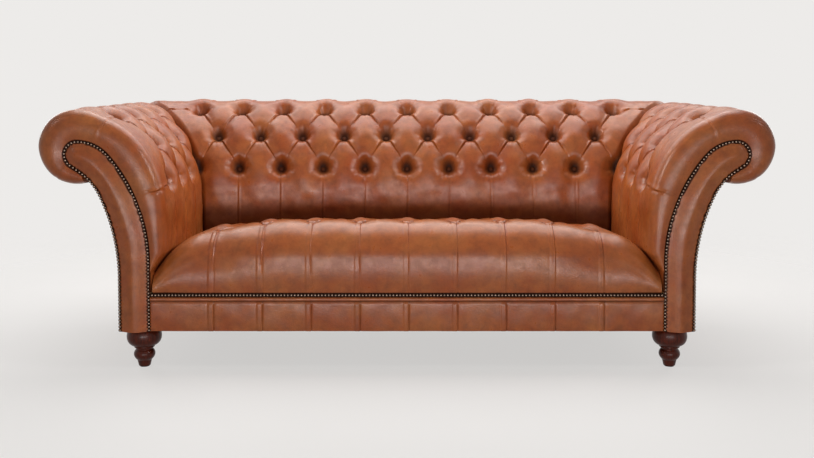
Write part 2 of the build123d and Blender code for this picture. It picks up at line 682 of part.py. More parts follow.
# Arm and back frames: scroll boards, battens in the rolls, tack rails and straps
strap_front = FOAM_THICKNESS + GAP
board_inset = strap_front + STRAP_THICKNESS + GAP
hollow = board_inset + GAP
strap_gap = (sweep_start - 2 * STRAP_WIDTH) / 3
arm_board_depth = SEAT_DEPTH - 1.3 * BOARD_THICKNESS
outline = board_face(board_inset, RAIL_TOP + STRAP_THICKNESS)
arm_board = prism(outline, arm_board_depth, "arm", BOARD_THICKNESS)
half = BATTEN_SIDE / 2
axis_x = INSIDE_HALF_WIDTH + ROLL_OUT
low = (axis_x - half, POST_BACK - TENON, ROLL_AXIS_HEIGHT - half)
high = (axis_x + half, arm_board_depth + BOARD_THICKNESS, ROLL_AXIS_HEIGHT + half)
parts["arm_batten_right"] = block(low, high)
post -= grown(low, high)
arm_board -= grown(low, high)
low = (INSIDE_HALF_WIDTH + hollow, POST_BACK, TUCK_HEIGHT)
high = (INSIDE_HALF_WIDTH + hollow + TACK_RAIL_THICKNESS, arm_board_depth, TUCK_HEIGHT + TACK_RAIL_HEIGHT)
parts["arm_tack_rail_right"] = block(low, high)

straps = []
for step in range(2):
    low = TUCK_HEIGHT + strap_gap + step * (STRAP_WIDTH + strap_gap)
    straps.append(block((INSIDE_HALF_WIDTH + strap_front, POST_BACK, low),
                        (INSIDE_HALF_WIDTH + strap_front + STRAP_THICKNESS,
                         arm_board_depth + BOARD_THICKNESS, low + STRAP_WIDTH)))
parts["arm_straps_right"] = Compound(children=straps)

board_spots = [step * STRAP_PITCH for step in (-4.5, -1.5, 1.5, 4.5)]
axis_y = SEAT_DEPTH + ROLL_OUT
low = (board_spots[0] - BOARD_THICKNESS, axis_y - half, ROLL_AXIS_HEIGHT - half)
high = (board_spots[-1] + BOARD_THICKNESS, axis_y + half, ROLL_AXIS_HEIGHT + half)
parts["back_batten"] = block(low, high)
seat = grown(low, high)
boards = []
for spot in board_spots:
    outline = board_face(board_inset, RAIL_TOP)
    boards.append(prism(outline, spot - BOARD_THICKNESS / 2, "back", BOARD_THICKNESS) - seat)
parts["back_formers"] = Compound(children=boards)
rails = []
for first, last in zip(board_spots, board_spots[1:]):
    rails.append(block((first + BOARD_THICKNESS / 2, SEAT_DEPTH + hollow, TUCK_HEIGHT),
                       (last - BOARD_THICKNESS / 2, SEAT_DEPTH + hollow + TACK_RAIL_THICKNESS,
                        TUCK_HEIGHT + TACK_RAIL_HEIGHT)))
parts["back_tack_rails"] = Compound(children=rails)
straps = []
for step in range(2):
    low = TUCK_HEIGHT + strap_gap + step * (STRAP_WIDTH + strap_gap)
    straps.append(block((board_spots[0] - BOARD_THICKNESS, SEAT_DEPTH + strap_front, low),
                        (board_spots[-1] + BOARD_THICKNESS,
                         SEAT_DEPTH + strap_front + STRAP_THICKNESS, low + STRAP_WIDTH)))
parts["back_straps"] = Compound(children=straps)

parts["front_rail"] = front_rail
parts["back_rail"] = back_rail
parts["side_rail_right"] = side_rail
parts["arm_post_right"] = post
parts["arm_former_right"] = arm_board

# Seat suspension
straps = []
count = math.floor((INSIDE_HALF_WIDTH - STRAP_WIDTH / 2) / STRAP_PITCH)
for step in range(-count, count + 1):
    x = step * STRAP_PITCH
    straps.append(block((x - STRAP_WIDTH / 2, POST_FRONT, RAIL_TOP),
                        (x + STRAP_WIDTH / 2, back_rail_rear, RAIL_TOP + STRAP_THICKNESS)))
parts["seat_straps_long"] = Compound(children=straps)
straps = []
for step in range(4):
    y = POST_BACK + (arm_board_depth - BOARD_THICKNESS - POST_BACK) * (step + 0.5) / 4
    straps.append(block((-rail_outer, y - STRAP_WIDTH / 2, RAIL_TOP + STRAP_THICKNESS),
                        (rail_outer, y + STRAP_WIDTH / 2, RAIL_TOP + 2 * STRAP_THICKNESS)))
parts["seat_straps_cross"] = Compound(children=straps)
parts["seat_hessian"] = block((-INSIDE_HALF_WIDTH, SEAT_FRONT, DECK - HESSIAN_THICKNESS),
                              (INSIDE_HALF_WIDTH, SEAT_DEPTH, DECK))

# Plain outside panels, mitred at the rear corners
outline = band_face(outside_track(FOOT_HEIGHT, PANEL_TUCK), 2 * GAP, 2 * GAP + PANEL_THICKNESS)
parts["outside_arm_right"] = in_arm(prism(outline, POST_FRONT, "arm", SEAT_DEPTH + reach))
parts["outside_back"] = in_back(prism(outline, -wide, "back", 2 * wide))

# Border on the front rail with its piping, front nailing, dust cover
front = FACING_THICKNESS - BORDER_THICKNESS
piping = RAIL_TOP - PIPING_DROP
high = RAIL_TOP - GAP
rim = [Edge.make_line((FACING_THICKNESS, FOOT_HEIGHT), (front, FOOT_HEIGHT)),
       Edge.make_line((front, FOOT_HEIGHT), (front, piping - PIPING_RADIUS)),
       Edge.make_three_point_arc((front, piping - PIPING_RADIUS), (front - PIPING_RADIUS * 0.9, piping),
                                 (front, piping + PIPING_RADIUS)),
       Edge.make_line((front, piping + PIPING_RADIUS), (front, high)),
       Edge.make_line((front, high), (FACING_THICKNESS, high)),
       Edge.make_line((FACING_THICKNESS, high), (FACING_THICKNESS, FOOT_HEIGHT))]
border_end = INSIDE_HALF_WIDTH + FACING_INSET - NAIL_WIDTH / 2 - GAP
plane = Plane(origin=(-border_end, 0, 0), x_dir=(0, 1, 0), z_dir=(1, 0, 0))
parts["front_border"] = extrude(plane * Face(Wire(rim)), amount=2 * border_end, dir=(1, 0, 0))
parts["front_nails"] = block((-border_end, front - NAIL_RISE, high - NAIL_WIDTH),
                             (border_end, front - 0.1, high))
dust = block((-rail_inner - third, POST_FRONT + third, FOOT_HEIGHT - DUST_COVER),
             (rail_inner + third, back_rail_front + third, FOOT_HEIGHT))
for side in (-1, 1):
    dust -= Pos(side * foot_x, FOOT_INSET, FOOT_HEIGHT) * Cylinder(BUN_RADIUS + 2, 10)
    dust -= Pos(side * foot_x, rear_foot_y, FOOT_HEIGHT) * Box(REAR_FOOT_SIDE + 4, REAR_FOOT_SIDE + 4, 10)
parts["dust_cover"] = dust

for name in [name for name in parts if name.endswith("_right")]:
    parts[name.replace("_right", "_left")] = mirrored(parts[name])

low = min(shape.bounding_box().min.Y for shape in parts.values())
high = max(shape.bounding_box().max.Y for shape in parts.values())
for name, shape in parts.items():
    export_step(Pos(0, -(low + high) / 2, 0) * shape, f"parts/{name}.step")
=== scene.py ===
import json
import math
from functools import cache

import bmesh
import bpy
import numpy as np
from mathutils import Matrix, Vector, geometry


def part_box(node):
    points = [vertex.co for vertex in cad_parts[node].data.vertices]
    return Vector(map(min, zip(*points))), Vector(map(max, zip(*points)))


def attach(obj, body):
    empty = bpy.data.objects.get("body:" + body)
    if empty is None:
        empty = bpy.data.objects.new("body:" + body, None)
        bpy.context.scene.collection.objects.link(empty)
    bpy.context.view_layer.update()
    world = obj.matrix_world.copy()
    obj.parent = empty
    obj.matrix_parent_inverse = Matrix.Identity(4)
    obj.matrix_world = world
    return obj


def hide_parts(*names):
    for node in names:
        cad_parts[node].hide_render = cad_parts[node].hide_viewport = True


bl_info = {
    "name": "Deep-buttoned scroll-arm sofa",
    "version": (1, 0, 0),
    "blender": (4, 5, 0),
    "location": "3D View > Sidebar > Sofa",
    "description": "Dresses the frame of a buttoned leather sofa in its covers, nails, buttons and feet",
    "category": "Object",
}

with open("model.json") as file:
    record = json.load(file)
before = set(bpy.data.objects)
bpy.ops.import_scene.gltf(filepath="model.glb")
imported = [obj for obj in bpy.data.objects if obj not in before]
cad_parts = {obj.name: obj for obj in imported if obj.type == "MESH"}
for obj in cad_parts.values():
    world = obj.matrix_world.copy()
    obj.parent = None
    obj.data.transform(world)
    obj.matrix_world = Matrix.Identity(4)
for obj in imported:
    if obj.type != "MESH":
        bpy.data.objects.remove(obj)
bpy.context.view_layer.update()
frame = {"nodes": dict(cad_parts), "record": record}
FACING_BOARD = 0.008            # thickness of the solids' facings behind their padding
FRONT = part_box("arm_facing_right")[1].y - FACING_BOARD      # front plane of the arm facings
BODY = "root"

# Meshes
PER_HALF = 24                   # columns from one button column to the next, and rows between button rows
LIP_STEPS = 24                  # columns round the front of an arm
INNER_ROWS = 40                 # rows on the hidden side of a cover
SKIRT_ROWS = 43                 # rows of the seat below its crest
REAR_ROWS = 8                   # rows of the seat behind its buttons
FACING_MESH = 0.006             # spacing of points on a facing

# Covers
SCROLL_ROWS = 4                 # rows of buttons above the first on arm and back
BACK_COLUMNS = 5                # button columns on either side of the middle
ARM_COLUMNS = 3                 # button columns from the corner to the plain strip
PIT_FLOOR = 0.002               # thickness of a cover under a button that is drawn right in
UNDERSIDE = 0.0005              # hidden side of a cover, off its padding
TUCKED = 0.004                  # thickness of a cover where it is tucked away
PAST_ROLL = 0.14                # how far arm and back covers run past the roll before the mitre is cut
MITRE_WIDTH = 0.034             # width over which they are drawn down into the mitre
MITRE_LEVEL = 0.020             # height off the padding at which that width is measured
CREASE_DEPTH = 0.006            # depth over which the dark dye and painted shade in a pleat would grow to the full
CREASE_DYE_AND_SHADE = 0.6                # most dark dye and painted shade that a pleat keeps

# Front of an arm
ARM_LIFT = 0.004                # lower edge of the arm covers, above the rail
LIP_START = 0.036               # start of the round front, behind the front plane
LIP_LENGTH = 0.070              # from there round to the nails
LIP_LEAD = 0.048                # how far the round front is led straight on before it turns
LIP_BULGE = 0.016               # pull of its curve beyond the front plane
LIP_END = 0.001                 # its end at the nails, behind the front plane
STRIP_EDGE = 0.160              # rear edge of the plain strip, behind the front plane
STRIP_BLEND = 0.070             # width over which puffs turn into the strip
TIP = (0.218, 0.672)            # centre of the round tip of the facing, out from the padding and up
TIP_RADIUS = 0.040
TIP_TURN = 235.0                # heading of the nail line where it leaves the tip, clockwise from up
NECK = 0.036                    # across the neck, from one nail line to the other
PAD_EDGE = 0.047                # width over which a facing rises to its full padding

# Seat
SEAT_SIDE_DROP = 0.148          # fall of the padding at the arms
SEAT_SHOULDER = 0.190           # width over which it falls
SEAT_FALL = 2.05                # how late it falls: 1 is a straight slope
SEAT_CREST_RADIUS = 0.070       # round of the padding over the front
SEAT_SLOPE = 7.5                # fall of the top towards the back, in degrees
SEAT_SIDE_GAP = 0.007           # seat to the padding of the arms
SEAT_BACK_GAP = 0.044           # seat padding to the padding of the back
SEAT_LIFT = 0.0004              # lower edge of the seat cover, above the rail
SEAT_COLUMNS = 4                # pleats on either side of the middle
SEAT_ROWS = 3                   # rows of buttons behind the first
SEAT_LOWEST = 0.62              # distance from the middle at which the puffs are lowest

# Rail border and nails
BORDER_TUCK = 0.0038            # edge of the rail border, tucked behind the facings' nails
WELT_DROP = 0.018               # welt below the upper edge of the rail
WELT_RADIUS = 0.0055
WELT_RISE = 0.0058
BORDER_PUFF = 0.0035            # padding of the border below its welt
BORDER_CREASE = 0.0028          # depth of the crease below the welt
BORDER_GAP = 0.0003             # border to the facings and to the rail's upper edge
NAIL_BAND = 0.0055              # darker band on either side of a line of nails
NAIL_FADE = 0.004               # width over which that darker band fades out
NAIL_DROP = 0.0053              # nails of the front rail, below its upper edge
NAIL_START = 0.005              # first nail from the end of its line
NAIL_RISE = 0.0034
NAIL_SKIRT = 0.0012

# Turned foot
TOE_LOW = 0.0032                # heights from the floor
TOE_HIGH = 0.0200
BALL_MIDDLE = 0.0400
NECK_HEIGHT = 0.0570
NECK_TOP = 0.0588
RING_MIDDLE = 0.0630
RING_HALF = 0.0034              # half the thickness of the ring
RING_TOP = 0.0640
BUN_MIDDLE = 0.0960
BUN_BELOW = 0.02885             # reach of the bun's round sides below and above its middle
BUN_ABOVE = 0.0361
BUN_EDGE = 0.1222
BUN_TOP_RADIUS = 0.043
FOOT_TOP = 0.1238


def length(name, description, default):
    """A size in metres that a user may change."""
    return bpy.props.FloatProperty(name=name, description=description, default=default, unit="LENGTH",
                                   precision=4, min=0.0)


def linear(hex_colour):
    """An sRGB hex colour as linear red, green, blue and alpha."""
    shares = [int(hex_colour[place:place + 2], 16) / 255 for place in (1, 3, 5)]
    return [s / 12.92 if s <= 0.04045 else ((s + 0.055) / 1.055) ** 2.4 for s in shares] + [1.0]


def colour(name, description, default):
    """A colour that a user may change."""
    return bpy.props.FloatVectorProperty(name=name, description=description, subtype="COLOR", size=4,
                                         min=0.0, max=1.0, default=linear(default))


class SofaSizes(bpy.types.PropertyGroup):
    """Sizes of the covers and their trim."""
    inside_half_width: length("Inside half width", "Centre line to the inner face of the arm padding", 0.792)
    seat_depth: length("Seat depth", "Front plane to the front face of the back padding", 0.629)
    rail_bottom: length("Rail bottom", "Height of the lower edge of the front rail", 0.124)
    rail_top: length("Rail top", "Height of the upper edge of the front rail", 0.243)
    tuck_height: length("Tuck height", "Lower edge of the back cover", 0.300)
    roll_out: length("Roll out", "Inner padding face to the axis of the roll", 0.218)
    roll_height: length("Roll height", "Height of the axis of the roll", 0.697)
    roll_radius: length("Roll radius", "Radius of the padding in the roll", 0.068)
    sweep_radius: length("Sweep radius", "Long curve that leads up to the roll", 0.285)
    first_row: length("First row", "Lowest button row above the start of the sweep", 0.077)
    row_pitch: length("Row pitch", "Distance between rows of buttons", 0.122)
    back_pitch: length("Back pitch", "Button spacing along the foot of the back", 0.1553)
    back_top_pitch: length("Back pitch at the roll", "Button spacing where the back is fanned out", 0.1584)
    arm_pitch: length("Arm pitch", "Button spacing along the arms", 0.150)
    crown: length("Crown", "Height of a puff above the padding", 0.044)
    roll_crown: length("Roll crown", "Height of a puff that lies over the roll", 0.056)
    sag: length("Sag", "How far the pleats lie below the puffs", 0.014)
    button_radius: length("Button radius", "Radius of a covered button", 0.0100)
    strip_crown: length("Strip crown", "Height of the plain strip at the front of an arm", 0.048)
    seat_pitch: length("Seat pitch", "Spacing of the seat's pleats", 0.151)
    seat_row_pitch: length("Seat row pitch", "Distance between the seat's button rows", 0.108)
    seat_top: length("Seat top", "Height of the seat padding at its front edge", 0.415)
    seat_crown: length("Seat crown", "Height of the seat's puffs above the padding", 0.036)
    seat_front: length("Seat front", "Front plane to the front of the seat padding", 0.046)
    fold_width: length("Fold width", "Width of the folded pleats on the seat and rail border", 0.013)
    nail_pitch: length("Nail pitch", "Spacing of the close nailing", 0.0105)
    nail_radius: length("Nail radius", "Radius of a nail's domed head", 0.0049)
    facing_rise: length("Facing rise", "How far the arm facings are padded out", 0.016)


class SofaColours(bpy.types.PropertyGroup):
    """Colours of the sofa's finishes."""
    hide: colour("Hide", "Ground colour of the leather", "#98481C")
    # Paler hide in random worn patches, and on the seat's crest, where it is also a painted highlight
    hide_worn_and_highlight: colour("Worn hide", "Paler leather where the finish is rubbed", "#A8602F")
    # Dark dye in the mottle; in pleats, pits, mitres, on the buttons and low behind the seat it also stands
    # for painted shade
    hide_dye_and_shade: colour("Dark hide", "Dye that stays in the pleats", "#1F0803")
    # Colour of the nail crowns: buffed brass, and a painted glint
    brass: colour("Brass", "Nail heads", "#7E695C")
    brass_dark: colour("Brass patina", "Tarnish round the nail heads", "#1A120C")
    polish: colour("Polish", "Stained timber of the feet", "#2E0F07")
    polish_light: colour("Light polish", "Grain of the feet where the stain is thin", "#5A1F0E")


def sizes():
    return bpy.context.scene.sofa_sizes


def colours():
    return bpy.context.scene.sofa_colours


# Profiles

class Track:
    """A run of straight and round stretches in the (out, up) plane of a slice, read by its length."""

    def __init__(self, start, heading=90.0):
        self.end = np.array(start, float)
        self.heading = heading
        self.stretches = []
        self.length = 0.0

    def line(self, run):
        way = math.radians(self.heading)
        self.stretches.append((self.length, self.end, way, 0.0))
        self.end = self.end + np.array([math.cos(way), math.sin(way)]) * run
        self.length += run
        return self

    def arc(self, radius, turn):
        """A round stretch that turns to the right by some degrees."""
        side = math.radians(self.heading - 90)
        centre = self.end + np.array([math.cos(side), math.sin(side)]) * radius
        self.stretches.append((self.length, centre, math.radians(self.heading + 90), radius))
        self.heading -= turn
        away = math.radians(self.heading + 90)
        self.end = centre + np.array([math.cos(away), math.sin(away)]) * radius
        self.length += radius * math.radians(turn)
        return self

    def at(self, along, raised=0.0):
        """Points some way along the run, raised off it to the left."""
        along, raised = np.broadcast_arrays(np.asarray(along, float), np.asarray(raised, float))
        starts = [stretch[0] for stretch in self.stretches]
        which = np.clip(np.searchsorted(starts, along, side="right") - 1, 0, None)
        out, up = np.zeros((2, *along.shape))
        for number, (start, anchor, angle, radius) in enumerate(self.stretches):
            here = which == number
            run, lift = along[here] - start, raised[here]
            if radius:
                away = angle - run / radius
                out[here] = anchor[0] + np.cos(away) * (radius + lift)
                up[here] = anchor[1] + np.sin(away) * (radius + lift)
            else:
                out[here] = anchor[0] + math.cos(angle) * run - math.sin(angle) * lift
                up[here] = anchor[1] + math.sin(angle) * run + math.cos(angle) * lift
        return out, up

    def places(self, along):
        """Points some way along the run, one to a row."""
        return np.stack(self.at(along), -1)


def scroll_track(bottom):
    """Padding profile of arm and back, from its lower edge up and over the roll."""
    size = sizes()
    roll_end = 280
    reach = size.sweep_radius - size.roll_radius
    sideways = size.sweep_radius - size.roll_out
    rise = math.sqrt(reach ** 2 - sideways ** 2)
    turn = math.degrees(math.atan2(rise, sideways))
    straight = size.roll_height - rise - bottom
    track = Track((0, bottom)).line(straight).arc(size.sweep_radius, turn)
    return track.arc(size.roll_radius, roll_end - turn)


def outside_track(bottom):
    """Outer nail line, from the foot of the arm up to the neck of the facing."""
    out, sweep, bend = 0.095, 0.600, 0.180
    leave = math.radians(90 - TIP_TURN)
    ahead = np.array([math.cos(leave), math.sin(leave)])
    right = np.array([math.sin(leave), -math.cos(leave)])
    neck = np.array(TIP) - right * TIP_RADIUS + ahead * NECK
    middle = neck - right * bend
    sideways = out + sweep - middle[0]
    rise = math.sqrt((sweep - bend) ** 2 - sideways ** 2)
    turn = math.degrees(math.atan2(rise, sideways))
    straight = middle[1] - rise - bottom
    return Track((out, bottom)).line(straight).arc(sweep, turn).arc(bend, TIP_TURN - 180 - turn)


def facing_track(bottom):
    """Inner nail line, up the inside of the facing and round its tip."""
    inset, straight, top = 0.005, 0.340, 0.120
    sideways = TIP[0] - inset
    rise = TIP[1] + TIP_RADIUS - top - straight
    sweep = (sideways ** 2 + rise ** 2 - top ** 2) / (2 * (sideways - top))
    turn = math.degrees(math.atan2(rise, sweep - sideways))
    track = Track((inset, bottom)).line(straight - bottom).arc(sweep, turn)
    return track.arc(top, 90 - turn).arc(TIP_RADIUS, TIP_TURN - 90)


def smooth(share):
    """An eased step from 0 to 1."""
    share = np.clip(share, 0, 1)
    return share * share * (3 - 2 * share)


def ridge(distance, centre, width):
    """A rounded ridge across a line."""
    return np.exp(-((distance - centre) / width) ** 2)


def fold(distance):
    """Section of a pleat: a ridge that laps over a narrow groove on its far side."""
    lap = 0.0034 * ridge(distance, 0.0045, 0.0032)
    groove = 0.0038 * ridge(distance, -0.0006, 0.0024)
    return lap - groove


def creased(pleat):
    """How far leather lies out of the dark dye and painted shade in the groove of a pleat of the given
    height.
    """
    return 1 - np.clip(-pleat / CREASE_DEPTH, 0, CREASE_DYE_AND_SHADE)


def beside_nails(distance):
    """How far leather lies out of the darker band beside a line of nails."""
    return smooth((distance - NAIL_BAND) / NAIL_FADE)


def bezier(share, first, second, third, last):
    """A cubic curve from the first value to the last, drawn towards the two between."""
    left = 1 - share
    drawn = 3 * share * left * (left * second + share * third)
    return left ** 3 * first + drawn + share ** 3 * last


def ripple(first, second, seed):
    """Soft uneven swelling of hand-stuffed padding, about -1 to 1, over plane coordinates in metres."""
    draw = np.random.default_rng(seed)
    total = np.zeros(np.broadcast(first, second).shape)
    waves = 10
    for _ in range(waves):
        angle = draw.uniform(0, 2 * math.pi)
        span = draw.uniform(0.05, 0.16)
        phase = draw.uniform(0, 2 * math.pi)
        way = first * math.cos(angle) + second * math.sin(angle)
        total = total + np.sin(2 * math.pi * way / span + phase)
    return total / 4.5


class Tufting:
    """Lattice of buttons over a cover, with pleats on the diagonals between them.

    Beyond the first and last rows, and beyond the last column on either side, the pleats run straight
    on to the edge of the cover.
    """

    def __init__(self, pitch, row, rows, columns, sag, seed, pit=0.068, depth=1.0, runs=0.36,
                 beside=(0.9, 0.7, 0.3), upper=True):
        self.pitch = pitch
        self.row = row
        self.rows = rows            # rows of buttons above the first
        self.columns = columns      # first and last column with buttons
        self.sag = sag              # how far the pleats lie below the puffs
        self.seed = seed
        self.pit = pit              # radius of the hollow round a button
        self.depth = depth          # share of the padding that a button is drawn through
        self.runs = runs            # strength of the straight pleats
        self.beside = beside        # strength of the pleats past the last column, from the first row up
        self.upper = upper          # whether a pleat is deepest at its upper end

    def floor(self, crown):
        """Height of the cover under a button."""
        return PIT_FLOOR + (crown - self.sag - PIT_FLOOR) * (1 - self.depth)

    def side_pleat(self, along, past_column):
        """Pleats that run on past the last column, slanting down and fainter in the upper rows."""
        slant, start = 0.09, 0.006
        place = along + slant * past_column
        turn = 2 * self.row
        offset = place - turn * np.clip(np.round(place / turn), 0, self.rows / 2)
        strength = np.interp(along, [0, turn, 2 * turn], self.beside)
        return strength * fold(offset) * (1 - np.exp(-past_column / start))

    def height(self, column, along, crown, flatter=0.0):
        """Height of the cover over its padding, and how far each point lies out of the dark dye and painted
        shade of pleats and pits.

        Where the cover is flatter, its pleats lie nearly level with its puffs.
        """
        fade = 0.006                # length over which one kind of pleat gives way to another
        level = along / (2 * self.row)
        held = np.clip(level, 0, self.rows / 2)
        kept = np.clip(column, *self.columns)
        past_row = np.abs(level - held) * 2 * self.row
        past_column = np.abs(column - kept) * self.pitch
        past = past_row + past_column
        nearest_a = np.round(kept + held)
        nearest_b = np.round(kept - held)
        off_a = kept + held - nearest_a
        off_b = kept - held - nearest_b
        from_button_u = (column - (nearest_a + nearest_b) / 2) * self.pitch
        from_button_v = (level - (nearest_a - nearest_b) / 2) * 2 * self.row

        def reach(above, below):
            """Distance from the nearest button, counted short or long above and below it."""
            return np.hypot(from_button_u, from_button_v * np.where(from_button_v > 0, above, below))

        away = reach(1.0, 1.0)
        puff = np.sin(math.pi * np.abs(off_a)) * np.sin(math.pi * np.abs(off_b))
        sag = self.sag * (1 - flatter) * (0.25 + 0.75 * np.exp(-past / 0.05))
        shape = crown - sag * (1 - puff)
        wide = 0.48 * np.clip(1 - (reach(1.0, 1.35) / self.pit) ** 2, 0, 1) ** 3
        steep = 0.52 * np.exp(-(reach(0.70, 1.15) / (0.36 * self.pit)) ** 4)
        bowl = self.depth * (wide + steep)
        lift = PIT_FLOOR + (shape - PIT_FLOOR) * (1 - bowl)

        unit = 1 / math.hypot(1 / self.pitch, 1 / (2 * self.row))
        share = 2 * held - np.floor(2 * held)
        share = share if self.upper else 1 - share
        strength = (0.15 + 0.85 * smooth((share - 0.25) / 0.5)) * np.exp(-past / fade)
        pleats = (fold(off_a * unit) + fold(-off_b * unit)) * strength
        straight = self.runs * fold((kept - np.round(kept)) * self.pitch) * (1 - np.exp(-past_row / fade))
        runs = np.where(past_column > 0, self.side_pleat(along, past_column), straight)
        folds = (pleats + runs) * smooth((away - 0.18 * self.pit) / (0.2 * self.pit))

        angle = np.arctan2(from_button_v, from_button_u)
        phase = 2.399 * (31 * nearest_a + 17 * nearest_b)
        spokes = np.sin(8 * angle + phase) + 0.7 * np.sin(13 * angle + 2.3 * phase)
        gathers = 0.0009 * spokes * ridge(away, 0.44 * self.pit, 0.24 * self.pit)
        uneven = 0.0012 * ripple(column * self.pitch, along, self.seed) * (1 - bowl)
        # Each pit is darkened with dye and painted shade, further above the button than below. Round the
        # lowest buttons it reaches further up than round the others.
        upward = 0.70 + 0.32 * smooth((along - 1.2 * self.row) / (0.6 * self.row))
        dimmed = self.depth * np.exp(-(reach(upward, 1.15) / (0.40 * self.pit)) ** 2.4)
        return lift + folds + gathers + uneven, (1 - dimmed) * creased(folds)


# Pieces

def mesh_piece(name, points, faces, patina_and_painted_light=None):
    """A new object from points and faces, with an attribute for its finish: below 1 darker with dye, tarnish
    and painted shade, above 1 paler with rubbing, buffing and painted highlight.
    """
    mesh = bpy.data.meshes.new(name)
    mesh.from_pydata(points, [], faces)
    if patina_and_painted_light is not None:
        layer = mesh.attributes.new("patina_and_painted_light", "FLOAT", "POINT")
        layer.data.foreach_set("value", np.asarray(patina_and_painted_light, np.float32))
    piece = bpy.data.objects.new(name, mesh)
    bpy.context.scene.collection.objects.link(piece)
    return piece


def finish_shell(piece, cuts, sharp):
    """Cuts a tube of cover at its mitres, closes its ends and sets its smooth shading."""
    body = bmesh.new()
    body.from_mesh(piece.data)
    for place, normal in cuts:
        whole = body.verts[:] + body.edges[:] + body.faces[:]
        bmesh.ops.bisect_plane(body, geom=whole, plane_co=place, plane_no=normal, clear_outer=True)
    bmesh.ops.remove_doubles(body, verts=body.verts[:], dist=1e-5)
    rim = [edge for edge in body.edges if edge.is_boundary]
    bmesh.ops.holes_fill(body, edges=rim)
    caps = [face for face in body.faces if len(face.verts) > 4]
    bmesh.ops.triangulate(body, faces=caps)
    bmesh.ops.recalc_face_normals(body, faces=body.faces[:])
    for face in body.faces:
        face.smooth = True
    body.to_mesh(piece.data)
    body.free()
    piece.data.set_sharp_from_angle(angle=math.radians(sharp))


def shell_faces(rows, columns, lattice):
    """Triangles of a grid whose last row meets its first.

    The lattice gives the numbers of its first rows and of its columns, counted from a button. There the
    cells are cut so that the pleats lie on mesh edges.
    """
    falling = np.zeros((rows, columns - 1), bool)
    if lattice:
        row, column = np.meshgrid(lattice[0], lattice[1][:-1], indexing="ij")
        turn = 2 * PER_HALF
        falling[:len(row)] = ((column + row + 1) % turn == 0) & ((column - row) % turn != 0)
    row, column = np.meshgrid(np.arange(rows), np.arange(columns - 1), indexing="ij")
    first = row * columns + column
    third = (row + 1) % rows * columns + column + 1
    second, fourth = first + 1, third - 1
    cut_rising = np.stack([first, second, third, first, third, fourth], -1)
    cut_falling = np.stack([first, second, fourth, second, third, fourth], -1)
    return np.where(falling[..., None], cut_falling, cut_rising).reshape(-1, 3).tolist()


def cover(name, outer, hidden, patina_and_painted_light, lattice=None, cuts=(), sharp=48.0):
    """A closed piece from rows of points: up over its outer side, then down its hidden one."""
    points = np.concatenate([outer, hidden])
    shown = np.concatenate([patina_and_painted_light, np.zeros(hidden.shape[:2])])
    faces = shell_faces(*points.shape[:2], lattice)
    piece = mesh_piece(name, points.reshape(-1, 3), faces, shown.ravel())
    finish_shell(piece, cuts, sharp)
    return piece


def grid(x, y, z):
    """Points from coordinates that are spread over one another's rows and columns."""
    return np.stack(np.broadcast_arrays(x, y, z), -1)


def turned(name, spots, profile, turns):
    """One piece of many like round bodies: each spot is the start of an axis and the way that it points.

    The profile runs from base to tip and gives radius, height and the share out of the dark finish: painted
    shade on a button, tarnish on a nail, whose crown also bears a painted glint.
    """
    points, faces, patina_and_painted_light = [], [], []
    *rings, tip = profile
    for centre, out in spots:
        out = Vector(out).normalized()
        side = out.orthogonal().normalized()
        other = out.cross(side)
        start = len(points)
        last = start + (len(rings) - 1) * turns
        for radius, height, shown in rings:
            for turn in range(turns):
                angle = 2 * math.pi * turn / turns
                round_way = side * math.cos(angle) + other * math.sin(angle)
                points.append(Vector(centre) + round_way * radius + out * height)
                patina_and_painted_light.append(shown)
        points.append(Vector(centre) + out * tip[1])
        patina_and_painted_light.append(tip[2])
        for turn in range(turns):
            after = (turn + 1) % turns
            for ring in range(start, last, turns):
                faces.append([ring + turn, ring + after, ring + turns + after, ring + turns + turn])
            faces.append([last + turn, last + after, len(points) - 1])
        faces.append([start + turn for turn in reversed(range(turns))])
    piece = mesh_piece(name, points, faces, patina_and_painted_light)
    for face in piece.data.polygons:
        face.use_smooth = len(face.vertices) < turns
    return piece


def dome(radius, rise, skirt, rings, shown):
    """Profile of a domed head on a short skirt; its crown is shown clear of the dark rim by some amount: on a
    button the dark is painted shade, on a nail tarnish, with a painted glint on the crown.
    """
    turns = [ring / rings * math.pi / 2 for ring in range(rings + 1)]
    head = [(radius * math.cos(t), rise * math.sin(t), min(1.0, shown * math.sin(t))) for t in turns]
    return [(radius, -skirt, 0.0)] + head


def mirrored(piece, name):
    """The left-hand twin of a right-hand piece."""
    mesh = piece.data.copy()
    twin = bpy.data.objects.new(name, mesh)
    bpy.context.scene.collection.objects.link(twin)
    body = bmesh.new()
    body.from_mesh(mesh)
    for vert in body.verts:
        vert.co.x = -vert.co.x
    bmesh.ops.reverse_faces(body, faces=body.faces[:])
    body.to_mesh(mesh)
    body.free()
    return twin


def dress(piece, slot, *nodes, fill=None):
    """Gives a piece its material and body, and hides the solids that it stands for; the fill is not used."""
    piece.data.materials.clear()
    piece.data.materials.append(finish_of(slot))
    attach(piece, BODY)
    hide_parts(*nodes)


def dress_pair(right, slot, node, fill=None):
    """Dresses a right-hand piece and its left-hand twin as the two solids of a node's name."""
    left = mirrored(right, right.name.replace("_right", "_left"))
    for piece, side in ((right, "_right"), (left, "_left")):
        dress(piece, slot, node + side, fill=fill)


# Materials

def feed(tree, node, inputs):
    """Fills inputs by name, or in their order, each with a value, a socket or a node's first output."""
    for key, value in (inputs.items() if isinstance(inputs, dict) else enumerate(inputs)):
        if isinstance(value, bpy.types.Node):
            value = next(output for output in value.outputs if output.enabled)
        if isinstance(value, bpy.types.NodeSocket):
            tree.links.new(value, node.inputs[key])
        else:
            node.inputs[key].default_value = value
    return node


